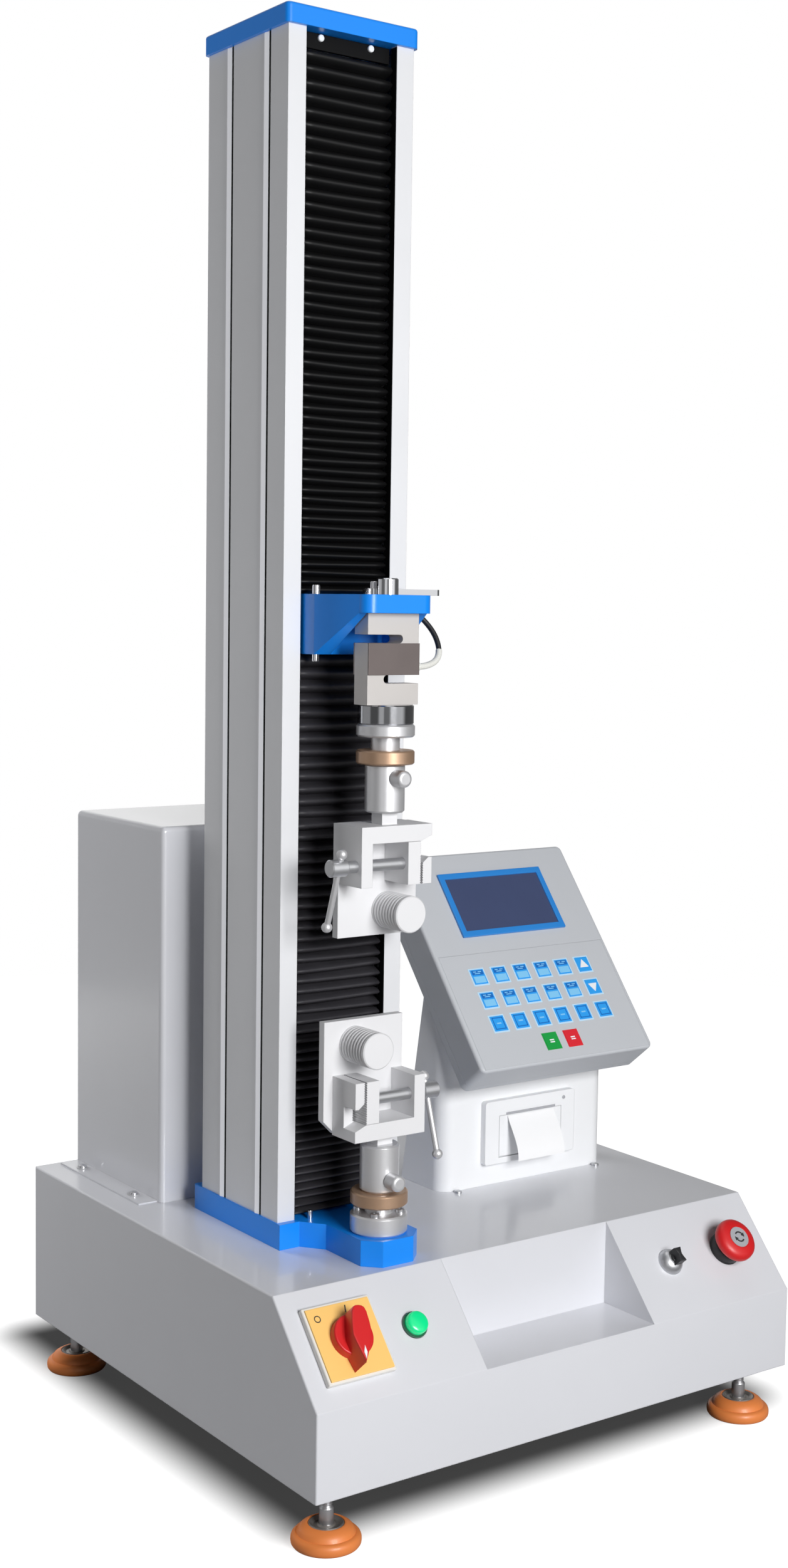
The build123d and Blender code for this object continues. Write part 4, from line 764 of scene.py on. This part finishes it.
@dataclass
class Column(Assembly):
    """Slotted column with its blue ends and pleated bellows."""

    half_width: float = 0.0447
    front: float = -0.0818
    depth: float = 0.0100
    top: float = 1.2115
    sheet: float = 0.0007
    rows: int = 6
    columns: int = 8
    ripple: float = 0.0006
    crease: float = 100.0
    side_reach: float = 0.0625
    groove_setbacks: tuple[float, float] = (0.0297, 0.0888)
    flank_width: float = 0.0050
    flank_rise: float = 0.0014
    groove_width: float = 0.0030
    # Depth of the black strip of painted shade in each groove.
    fill: float = 0.0008
    play: float = 0.0003
    slot_half: float = 0.0453
    guide: float = 0.0004
    guide_width: float = 0.0076
    guide_setback: float = 0.0042
    bar_width: float = 0.0890
    bar_height: float = 0.0130
    bar_depth: float = 0.0030
    bar_setback: float = 0.0066
    clip_reach: float = 0.025
    clip_z: float = 1.2080
    bolt_reach: float = 0.031
    bolt_y: float = -0.0897

    def pleats(self, name: str, finish: Finish, low: float, high: float, pitches: tuple[float, float],
               sag: float) -> bpy.types.Object:
        """Fold one bellows from a grid whose rows move in and out.

        Args:
            name: Name of the piece, which is its CAD node's name with a suffix.
            finish: Its cloth.
            low: Height of its lower end.
            high: Height of its upper end.
            pitches: Fold pitch at the lower and the upper end.
            sag: How far the middle of a fold hangs below its ends.

        Returns:
            The bellows, standing between its lower and upper ends.
        """
        low_pitch, high_pitch = pitches
        folds = round((high - low) * 2 / (low_pitch + high_pitch))
        heights = [0.0]
        for fold in range(folds):
            heights.append(heights[-1] + low_pitch + (high_pitch - low_pitch) * (fold + 0.5) / folds)
        scale = (high - low) / heights[-1]
        steps = folds * self.rows
        part = bmesh.new()
        bmesh.ops.create_grid(part, x_segments=self.columns, y_segments=steps, size=0.5)
        for vert in part.verts:
            across = vert.co.x * 2
            step = round((vert.co.y + 0.5) * steps)
            fold, phase = divmod(step, self.rows)
            share = phase / self.rows
            lower, upper = heights[fold], heights[min(fold + 1, folds)]
            height = low + (lower + (upper - lower) * share) * scale
            swing = 0.5 + 0.5 * math.cos(math.tau * share)
            bulge = 1 - math.sqrt(1 - swing)
            droop = sag * (1 - across ** 2) * math.sin(math.pi * min(1, (height - low) / (high - low)))
            ripple = self.ripple * math.sin(fold * 2.4) * across
            vert.co = (AXIS_X + across * self.half_width, self.front + self.depth * bulge,
                       min(high, max(low, height - droop + ripple * (0 < step < steps))))
        bmesh.ops.recalc_face_normals(part, faces=part.faces)
        bmesh.ops.solidify(part, geom=part.faces[:], thickness=self.sheet)
        mesh = meshed(name, part)
        smooth(mesh, self.crease)
        mesh.materials.append(finish.material())
        shown = in_scene(name, mesh)
        LOG.info("piece %s between frame and crosshead", name)
        return shown

    def build(self) -> None:
        """Finish the column and hang its bellows."""
        self.paint(ANODISED, "column_extrusion")
        self.paint(BLUE_PAINT, "column_top_cap", "column_base_plate")
        self.paint(GROUND_STEEL, "ball_screw", "screw_bearings")
        hung = self.top - self.bar_height
        # The upper bellows gets the shaded copy of the cloth, the lower one the lit copy.
        for level, cloth, low, high, pitches, sag in (
                ("upper", UPPER_CLOTH_PAINTED_SHADE, CROSSHEAD_Z, hung, (0.0070, 0.0115), 0.0006),
                ("lower", LOWER_CLOTH_PAINTED_LIGHT, PLATE_Z, BRACKET_Z, (0.0066, 0.0114), 0.0004)):
            bellows = self.pleats(f"{level}_bellows_cloth", cloth, low, high, pitches, sag)
            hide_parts(f"{level}_bellows")
            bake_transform(bellows)
        self.trim()
        bolts = Shaper()
        for x in (AXIS_X - self.bolt_reach, AXIS_X + self.bolt_reach):
            bolts.turned(socket_screw(0.0025, 0.007), shift(x, self.bolt_y, PLATE_Z), 28)
        bolts.piece("plate_bolts", BRIGHT_STEEL, "frame", "chromed_steel")

    def trim(self) -> None:
        """Raise the groove flanks with a painted highlight, fill the grooves with painted shade and line
        the slot with dark bellows guides.
        """
        flanks, dark, clips = Shaper(), Shaper(), Shaper()
        tall = self.top - PLATE_Z - 2 * self.play
        middle = (self.top + PLATE_Z) / 2
        bar_y = self.front + self.bar_setback
        for side in (-1, 1):
            face_x = AXIS_X + side * self.side_reach
            for setback in self.groove_setbacks:
                wall = COLUMN_FRONT + setback
                wedge = ((face_x, wall), (face_x + side * self.flank_rise, wall + self.flank_width),
                         (face_x, wall + self.flank_width))
                flanks.prism(wedge, tall, shift(z=PLATE_Z + self.play))
                # Painted shade: a black strip just under the face darkens each groove.
                dark.slab((self.fill, self.groove_width - 0.0002, tall),
                          shift(face_x - side * 0.0006, wall - self.groove_width / 2, middle))
            dark.slab((self.guide, self.guide_width, tall),
                      shift(AXIS_X + side * (self.slot_half - self.guide / 2),
                            COLUMN_FRONT + self.guide_setback, middle))
            face = placed((AXIS_X + side * self.clip_reach, bar_y - self.bar_depth / 2, self.clip_z),
                          (1, 0, 0), (0, -1, 0))
            clips.turned(button(0.0029, -0.002, 0.0022, 0.0012), face, 28)
        dark.slab((self.bar_width, self.bar_depth, self.bar_height - 0.0002),
                  shift(AXIS_X, bar_y, self.top - self.bar_height / 2), 0.0004)
        flanks.piece("groove_flanks", GROOVE_PAINTED_GLINT, "frame", "column_anodised")
        dark.piece("bellows_guides_and_groove_shade", GUIDE_BLACK_AND_GROOVE_SHADE, "frame", "bellows_black")
        clips.piece("bellows_screws", PRINT_WHITE, "frame", "console_white")


@dataclass
class Crosshead(Assembly):
    """Blue bracket with its load cell and lead."""

    route: tuple[Point, ...] = (
        (-0.0985, -0.148, 0.694), (-0.086, -0.147, 0.6945), (-0.0735, -0.1435, 0.703),
        (-0.0715, -0.135, 0.719), (-0.0785, -0.125, 0.734), (-0.0896, -0.119, 0.744))
    lead_radius: float = 0.0023
    sleeve_run: float = 0.030
    sleeve_wall: float = 0.0004
    cell_side: float = 0.0255
    screw_reach: float = 0.036
    screw_y: float = -0.096
    clamp_screw: Point = (AXIS_X - 0.002, -0.1305, CROSSHEAD_Z + 0.005)

    def spline(self, name: str, radius: float) -> bpy.types.Object:
        """Draw the lead's route as a smooth curve.

        Args:
            name: Name of the curve.
            radius: Radius of its round section, or 0 for a bare line.

        Returns:
            The curve object.
        """
        data = bpy.data.curves.new(name, "CURVE")
        data.dimensions, data.resolution_u = "3D", 12
        data.bevel_depth, data.bevel_resolution, data.use_fill_caps = radius, 5, True
        line = data.splines.new("NURBS")
        line.points.add(len(self.route) - 1)
        for point, place in zip(line.points, self.route):
            point.co = (*place, 1.0)
        line.order_u = 3
        line.use_endpoint_u = True
        return in_scene(name, data)

    def lead(self) -> None:
        """Lay the lead from the cell's gland to the bracket, with its pale sleeve."""
        lead = self.spline("cell_lead", self.lead_radius)
        lead.data.materials.append(JACKET_BLACK.material())
        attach(lead, "crosshead")
        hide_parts("load_cell_cable")
        line = self.spline("lead_line", 0.0)
        bare = bpy.data.meshes.new_from_object(line)
        path = [vert.co.copy() for vert in bare.vertices]
        bpy.data.objects.remove(line)
        part = bmesh.new()
        run = [point for point in path if (point - path[0]).length < self.sleeve_run]
        rims = []
        for index, point in enumerate(run):
            ahead = run[min(index + 1, len(run) - 1)] - run[max(index - 1, 0)]
            turn = ahead.to_track_quat("Z", "Y").to_matrix().to_4x4()
            made = bmesh.ops.create_circle(part, segments=20, radius=self.lead_radius + self.sleeve_wall,
                                           matrix=Matrix.Translation(point) @ turn)
            rims.append({edge for vert in made["verts"] for edge in vert.link_edges})
        for before, after in zip(rims, rims[1:]):
            bmesh.ops.bridge_loops(part, edges=list(before | after))
        bmesh.ops.holes_fill(part, edges=part.edges, sides=0)
        bmesh.ops.recalc_face_normals(part, faces=part.faces)
        sleeve = Shaper()
        sleeve.keep(part, Matrix.Identity(4))
        gland = placed((AXIS_X + self.cell_side, AXIS_Y, self.route[0][2]), (0, 1, 0), (1, 0, 0))
        sleeve.turned(ring(0.0040, 0.0015, -0.0005, 0.0046), gland, 6)
        sleeve.turned(ring(0.0034, 0.0015, 0.0046, 0.0085, 0.0008), gland, 28)
        sleeve.piece("lead_sleeve", JACKET_WHITE, "crosshead", "lead_jacket")

    def build(self) -> None:
        """Finish the crosshead's metal and add its screws and lead."""
        self.paint(BLUE_PAINT, "crosshead_bracket")
        self.paint(ANODISED, "crosshead_carriage")
        self.paint(GROUND_STEEL, "ball_nut")
        self.paint(CHROME, "load_cell_clamp")
        self.paint(CHROME_PAINTED_SHADE, "upper_coupling")
        self.paint(CELL_NICKEL, "load_cell")
        self.paint(COVER_STEEL, "load_cell_covers")
        self.lead()
        screws = Shaper()
        for x in (AXIS_X - self.screw_reach, AXIS_X + self.screw_reach):
            screws.turned(socket_screw(0.0036, 0.0075), shift(x, self.screw_y, CROSSHEAD_Z), 28)
            under = placed((x, self.screw_y, BRACKET_Z), (1, 0, 0), (0, 0, -1))
            screws.turned(socket_screw(0.0032, 0.006), under, 28)
        screws.turned(socket_screw(0.0030, 0.006), shift(*self.clamp_screw), 28)
        screws.piece("bracket_screws", BRIGHT_STEEL, "crosshead", "chromed_steel")


@dataclass
class Grips(Assembly):
    """Couplings and vice grips above and below."""

    bolt_circle: float = 0.0182
    bolt_radius: float = 0.0038
    bolt_height: float = 0.0032
    lower_flange_top: float = 0.2355
    rib_count: int = 8
    rib_pitch: float = 0.0040
    rib_depth: float = 0.0009
    bollard_rim: float = 0.0010

    def bollard(self, node: bpy.types.Object, level: str, body: str) -> None:
        """Turn one ribbed bollard at the size and place of its CAD node.

        Args:
            node: The CAD bollard.
            level: Which grip it belongs to.
            body: The CAD body that carries it.
        """
        corners = [node.matrix_world @ Vector(corner) for corner in node.bound_box]
        low = Vector(map(min, zip(*corners)))
        high = Vector(map(max, zip(*corners)))
        radius, length = (high.x - low.x) / 2, high.y - low.y
        points = [(0.0, 0.0), (radius, 0.0)]
        for rib in range(self.rib_count):
            for along, sunk in ((0.4, 0.0), (0.65, 1.0), (0.8, 1.0), (1.05, 0.0)):
                points.append((radius - sunk * self.rib_depth, (rib + along) * self.rib_pitch))
        rim = self.bollard_rim
        points += [(radius, length - rim), (radius - rim, length), (0.0, length)]
        at = placed(((low.x + high.x) / 2, high.y, (low.z + high.z) / 2), (1, 0, 0), (0, -1, 0))
        ribbed = Shaper().turned(points, at, 64)
        ribbed.piece(f"{level}_bollard_ribs", GRIP_SILVER, body, "grip_silver", (f"{level}_bollard",))

    def build(self) -> None:
        """Finish both grip sets, turn their bollards and add the lower flange's screws."""
        for level, body in (("upper", "crosshead"), ("lower", "frame")):
            self.bollard(self.nodes[f"{level}_bollard"], level, body)
            for finish, parts in ((GRIP_SILVER, ("grip_frame", "jaw")), (BRONZE, ("lock_nut",)),
                                  (GROUND_STEEL, ("flange", "socket", "pin", "tommy_bar")),
                                  (SATIN_STEEL, ("clamp_screw",))):
                self.paint(finish, *(f"{level}_{part}" for part in parts))
        bolts = Shaper()
        for quarter in range(4):
            angle = math.radians(45 + 90 * quarter)
            at = shift(AXIS_X + self.bolt_circle * math.cos(angle),
                       AXIS_Y + self.bolt_circle * math.sin(angle), self.lower_flange_top)
            bolts.turned(socket_screw(self.bolt_radius, self.bolt_height), at, 28)
        bolts.piece("flange_bolts", SATIN_STEEL, "frame", "chromed_steel")


@dataclass
class Controls(Assembly):
    """Isolator, pilot lamp, selector and emergency stop on the sloped panel."""

    middle_y: float = -0.217
    middle_z: float = 0.15975
    rise: float = 0.0745
    run: float = 0.066
    isolator_x: float = -0.210829
    isolator_width: float = 0.065
    isolator_face: float = 0.0606
    grip_turn: float = -15.0
    lamp_x: float = -0.143928
    selector_x: float = 0.140918
    estop_x: float = 0.208989
    arrow_circle: float = 0.0045

    def panel(self, x: float) -> Matrix:
        """Local frame on the sloped panel at x, with its Z outwards and its Y up the slope."""
        return placed((x, self.middle_y, self.middle_z), (1, 0, 0), (0, -self.rise, self.run))

    def isolator(self) -> None:
        """Build the clear plate, its yellow face with two marks, and the red turning grip."""
        at = self.panel(self.isolator_x)
        wide, face_wide = self.isolator_width, self.isolator_face
        plate = Shaper().slab((wide, wide, 0.0056), at @ shift(z=0.0028), 0.0012, 3)
        plate.piece("isolator_plate", CLEAR_PLASTIC, "frame", "switch_yellow", ("power_switch_plate",))
        face = Shaper().slab((face_wide, face_wide, 0.0020), at @ shift(z=0.0060), 0.0006)
        face.piece("isolator_face", SWITCH_YELLOW, "frame", "switch_yellow")
        marks = Shaper()
        marks.turned(ring(0.0030, 0.0022, 0.0068, 0.00715, 0.0001), at @ shift(-0.022, 0.021), 32)
        marks.slab((0.0010, 0.0060, 0.0004), at @ shift(0.006, 0.0245, 0.00705) @ spin(-0.26))
        marks.piece("isolator_marks", DARK_GAP, "frame", "black_plastic")
        turned = at @ spin(math.radians(self.grip_turn))
        knob = Shaper().turned(button(0.0175, 0.0073, 0.0152, 0.0016), at)
        flank = ((0.0034, -0.0205), (0.0066, -0.0125), (0.0086, -0.0066), (0.0087, -0.0030),
                 (0.0079, 0.0055), (0.0066, 0.0136), (0.0050, 0.0172), (0.0027, 0.0187))
        bar = ((0.0, -0.0285), *flank, (0.0, 0.0190), *((-x, y) for x, y in reversed(flank)))
        knob.prism(bar, 0.0217, turned @ shift(z=0.0075), 0.0, 0.0016)
        knob.piece("isolator_grip", SIGNAL_RED, "power_switch_knob", "signal_red", ("power_switch_knob",))
        holes = Shaper()
        for y in (-0.004, 0.006):
            side = turned @ placed((0.0084 - 0.08 * (y + 0.004), y, 0.0215), (0, 1, 0), (1, 0.1, 0))
            holes.turned(ring(0.0019, 0.0010, -0.0004, 0.0003, 0.0001), side, 24)
        pointer = ((0.0, -0.0262), (0.0014, -0.0205), (0.0, -0.0150), (-0.0014, -0.0205))
        holes.prism(pointer, 0.0003, turned @ shift(z=0.0291))
        holes.piece("isolator_grip_marks", PRINT_WHITE, "power_switch_knob", "console_white")

    def lamp(self) -> None:
        """Build the pilot lamp's bezel and lens."""
        at = self.panel(self.lamp_x)
        bezel = Shaper().turned(ring(0.0112, 0.0086, 0.0, 0.0030, 0.0007), at)
        bezel.piece("lamp_bezel", LAMP_BEZEL, "frame", "lamp_green", ("pilot_lamp",))
        lens = Shaper().turned(((0.0, 0.0005), (0.0096, 0.0005), (0.0096, 0.0060), (0.0092, 0.0076),
                                (0.0082, 0.0086), (0.0056, 0.0092), (0.0, 0.0095)), at)
        lens.piece("lamp_lens", LAMP_GREEN, "frame", "lamp_green")

    def selector(self) -> None:
        """Build the selector's chromed dome and its waisted lever."""
        at = self.panel(self.selector_x)
        dome = Shaper().turned(((0.0, 0.0), (0.0120, 0.0), (0.0120, 0.0014), (0.0116, 0.0022),
                                (0.0110, 0.0042), (0.0098, 0.0062), (0.0080, 0.0078), (0.0060, 0.0087),
                                (0.0046, 0.0090), (0.0, 0.0090)), at)
        dome.piece("selector_dome", SATIN_STEEL, "frame", "chromed_steel", ("selector_bezel",))
        flank = ((0.0040, -0.0065), (0.0026, -0.0024), (0.0020, 0.0), (0.0026, 0.0024), (0.0040, 0.0065))
        waist = (*flank, *((-x, y) for x, y in reversed(flank)))
        lever = Shaper().prism(waist, 0.0090, at @ shift(z=0.0093), 0.0, 0.0012)
        lever.turned(button(0.0042, 0.0086, 0.0110, 0.0006), at, 32)
        lever.piece("selector_grip", BLACK_PLASTIC, "selector_lever", "black_plastic",
                    ("selector_lever",))

    def estop(self) -> None:
        """Build the emergency stop: black collar, red mushroom and grey release mark."""
        at = self.panel(self.estop_x)
        collar = Shaper().turned(((0.0, 0.0), (0.0155, 0.0), (0.0155, 0.0012), (0.0150, 0.0018),
                                  (0.0150, 0.0074), (0.0142, 0.0090), (0.0, 0.0090)), at)
        collar.piece("estop_base", BLACK_PLASTIC, "frame", "black_plastic", ("estop_collar",))
        head = Shaper().turned(((0.0, 0.0143), (0.0176, 0.0143), (0.0194, 0.0150), (0.0200, 0.0166),
                                (0.0200, 0.0188), (0.0194, 0.0212), (0.0176, 0.0232), (0.0150, 0.0245),
                                (0.0118, 0.0252), (0.0106, 0.0253), (0.0102, 0.0249), (0.0, 0.0249)), at)
        head.piece("estop_mushroom", SIGNAL_RED, "estop_head", "signal_red", ("estop_head",))
        disc = Shaper().turned(button(0.0098, 0.0248, 0.0257, 0.0004), at)
        disc.piece("estop_disc", GREY_AND_SLOT_SHADE, "estop_head", "console_grey")
        arrows = Shaper()
        for half in (0, 1):
            spun = at @ spin(math.pi * half)
            for step in range(5):
                spot = spun @ spin(math.radians(25 + 24 * step)) @ shift(self.arrow_circle, 0.0, 0.0258)
                arrows.slab((0.0013, 0.0021, 0.0003), spot)
            tip = spun @ spin(math.radians(20)) @ shift(self.arrow_circle, 0.0, 0.0257)
            arrows.prism(((-0.0021, 0.0006), (0.0, -0.0028), (0.0021, 0.0006)), 0.0003, tip)
        arrows.piece("estop_arrows", DARK_GAP, "estop_head", "black_plastic")

    def build(self) -> None:
        """Build every control."""
        self.paint(BLACK_PLASTIC, "estop_plunger")
        self.isolator()
        self.lamp()
        self.selector()
        self.estop()


class KeyKind(Enum):
    """What is printed on a key."""

    BANDED = "dark band over a pale field"
    PLAIN = "outlined field"
    UP = "arrow up"
    DOWN = "arrow down"


@dataclass
class Console(Assembly):
    """Tilted keypad console on its pedestal, with the paper printer."""

    edge: Point = (0.119, -0.101, 0.3255)
    tilt: float = 51.0
    key: float = 0.0155
    pitch_x: float = 0.0257
    pitch_y: float = 0.0248
    first_row: float = 0.0953
    sheet: Point = (0.2005, 0.1180, 0.0005)
    sheet_middle: float = 0.0610
    sunk: float = 0.0003
    display_middle: float = 0.1723
    cap: float = 0.0006
    ink: float = 0.0002
    print_z: float = 0.00125
    printer_z: float = 0.2485
    printer_face: float = -0.044
    paper_width: float = 0.0570
    paper_drop: float = 0.0400
    paper_lean: float = 0.0172
    paper_sheet: float = 0.00012
    bolt_places: tuple[float, float] = (0.034, 0.204)
    bolt_y: float = -0.0425

    def panel(self) -> Matrix:
        """Local frame at the middle of the panel's lower edge, with its Z outwards."""
        slope = math.radians(self.tilt)
        return placed(self.edge, (1, 0, 0), (0, -math.sin(slope), math.cos(slope)))

    def keys(self) -> None:
        """Build the printed keypad on its thin sheet, which is let into the panel."""
        at = self.panel() @ shift(z=-self.sunk)
        sheet = Shaper().slab(self.sheet, at @ shift(0, self.sheet_middle, self.sheet[2] / 2))
        sheet.piece("keypad_sheet", CONSOLE_GREY, "frame", "console_grey", ("keypad_membrane",))
        layers = {"key_halos": KEY_HALO, "key_caps": KEY_BLUE, "key_bands": KEY_DEEP,
                  "key_fields": KEY_FIELD, "key_marks": PRINT_WHITE, "start_key": KEY_GREEN,
                  "stop_key": KEY_RED}
        shapes = {name: Shaper() for name in layers}
        for row in range(3):
            for column in range(6):
                kind = KeyKind.BANDED if row < 2 else KeyKind.PLAIN
                if column == 5 and row < 2:
                    kind = KeyKind.UP if row == 0 else KeyKind.DOWN
                spot = at @ shift((column - 2.5) * self.pitch_x, self.first_row - row * self.pitch_y)
                self.cushion(shapes["key_halos"], shapes["key_caps"], spot, 0.0030)
                self.legend(kind, spot, shapes)
        for x, name in ((-0.5, "start_key"), (0.5, "stop_key")):
            spot = at @ shift(x * self.pitch_x, self.first_row - 3 * self.pitch_y)
            self.cushion(shapes[name], shapes[name], spot, 0.0022)
            for y in (0.0009, -0.0013):
                shapes["key_marks"].slab((0.0052, 0.0012, self.ink), spot @ shift(0, y, 0.0012))
        for name, finish in layers.items():
            shapes[name].piece(name, finish, "frame", "keypad_blue")

    def cushion(self, halo: Shaper, cap: Shaper, spot: Matrix, border: float) -> None:
        """Raise one key on its border.

        Args:
            halo: Collects the border.
            cap: Collects the key.
            spot: The key's local frame.
            border: How much wider the border is.
        """
        wide = self.key + border
        cap.slab((self.key, self.key, self.cap), spot @ shift(z=0.0009), 0.00025)
        halo.slab((wide, wide, self.ink), spot @ shift(z=0.0006), 0.00008)

    def legend(self, kind: KeyKind, spot: Matrix, shapes: dict[str, Shaper]) -> None:
        """Print one key with plain bands, a field or an arrow.

        Args:
            kind: What the key shows.
            spot: The key's local frame.
            shapes: Collects the marks by the name of their layer.
        """
        deep, field = shapes["key_bands"], shapes["key_fields"]
        top = spot @ shift(z=self.print_z)
        if kind is KeyKind.BANDED:
            deep.slab((0.0132, 0.0048, self.ink), top @ shift(0, 0.0043))
            for x, y, length in ((-0.0030, 0.0052, 0.0034), (0.0026, 0.0052, 0.0040),
                                 (-0.0004, 0.0034, 0.0062)):
                field.slab((length, 0.0009, self.ink), top @ shift(x, y, 0.0001))
            field.slab((0.0128, 0.0068, self.ink), top @ shift(0, -0.0031))
        elif kind is KeyKind.PLAIN:
            for side in (-0.0057, 0.0057):
                deep.slab((0.0009, 0.0122, self.ink), top @ shift(side, 0))
                deep.slab((0.0122, 0.0009, self.ink), top @ shift(0, side))
            field.slab((0.0052, 0.0014, self.ink), top)
        else:
            arrow = ((-0.0054, -0.0034), (0.0054, -0.0034), (0.0, 0.0056))
            turn = spin(0.0 if kind is KeyKind.UP else math.pi)
            shapes["key_marks"].prism(arrow, self.ink, top @ turn, 0.0007)

    def display(self) -> None:
        """Build the blue bezel and its slate screen."""
        at = self.panel() @ shift(0, self.display_middle)
        bezel = Shaper()
        for side in (-1, 1):
            bezel.slab((0.1260, 0.0062, 0.0026), at @ shift(0, side * 0.0319, 0.0013), 0.0006)
            bezel.slab((0.0061, 0.0699, 0.0025), at @ shift(side * 0.0599, 0, 0.00125), 0.0006)
        bezel.piece("display_bezel", BEZEL_BLUE, "frame", "display_blue", ("display_module",))
        glass = Shaper().slab((0.1142, 0.0582, 0.0018), at @ shift(0, 0, 0.0004), 0.0002)
        glass.piece("display_glass", SCREEN_SLATE, "frame", "display_blue")

    def printer(self) -> None:
        """Finish the printer and add its lamp, a strip of painted shade for its paper slot, and the
        paper.
        """
        self.paint(CONSOLE_WHITE, "printer_frame", "printer_door")
        face = placed((self.edge[0], self.printer_face, self.printer_z), (1, 0, 0), (0, -1, 0))
        led = Shaper().turned(button(0.0018, -0.001, 0.0008, 0.0006), face @ shift(0.041, 0.0235), 24)
        led.piece("printer_lamp", GREY_AND_SLOT_SHADE, "frame", "console_grey")
        # Painted shade: a grey strip on the printer's face stands for its paper slot.
        slot = Shaper().slab((0.0600, 0.0022, 0.0012), face @ shift(0, 0.0170, 0.0001), 0.0002)
        slot.piece("paper_slot_painted_shade", GREY_AND_SLOT_SHADE, "frame", "console_grey")
        part = bmesh.new()
        bmesh.ops.create_grid(part, x_segments=4, y_segments=20, size=0.5)
        for vert in part.verts:
            along = vert.co.y + 0.5
            lean = 0.0006 + self.paper_lean * math.sin(along * math.pi * 0.52) ** 1.4
            vert.co = (vert.co.x * self.paper_width, 0.0146 - self.paper_drop * along ** 1.1, lean)
        bmesh.ops.solidify(part, geom=part.faces[:], thickness=self.paper_sheet)
        paper = Shaper()
        paper.keep(part, face)
        paper.piece("paper_strip", PAPER, "printer_door", "console_white")

    def build(self) -> None:
        """Finish the console and build what is printed on it."""
        self.paint(CONSOLE_GREY, "console_housing", "console_back_cover")
        self.paint(CONSOLE_WHITE, "console_pedestal")
        self.keys()
        self.display()
        self.printer()
        pads = Shaper()
        for x in self.bolt_places:
            pads.turned(button(0.0036, 0.0, 0.0022, 0.0008), shift(x, self.bolt_y, DECK_Z), 28)
        pads.piece("pedestal_bolts", SATIN_STEEL, "frame", "chromed_steel")


def main() -> None:
    """Load the frame, set up the studio and dress every sub-assembly in order."""
    logging.basicConfig(level=logging.INFO, format="%(name)s: %(message)s")
    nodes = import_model()["nodes"]
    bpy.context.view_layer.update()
    Studio().build()
    for assembly in (Feet, Cabinet, Column, Crosshead, Grips, Controls, Console):
        assembly(nodes).build()
    bpy.context.view_layer.update()


if __name__ == "__main__":
    main()
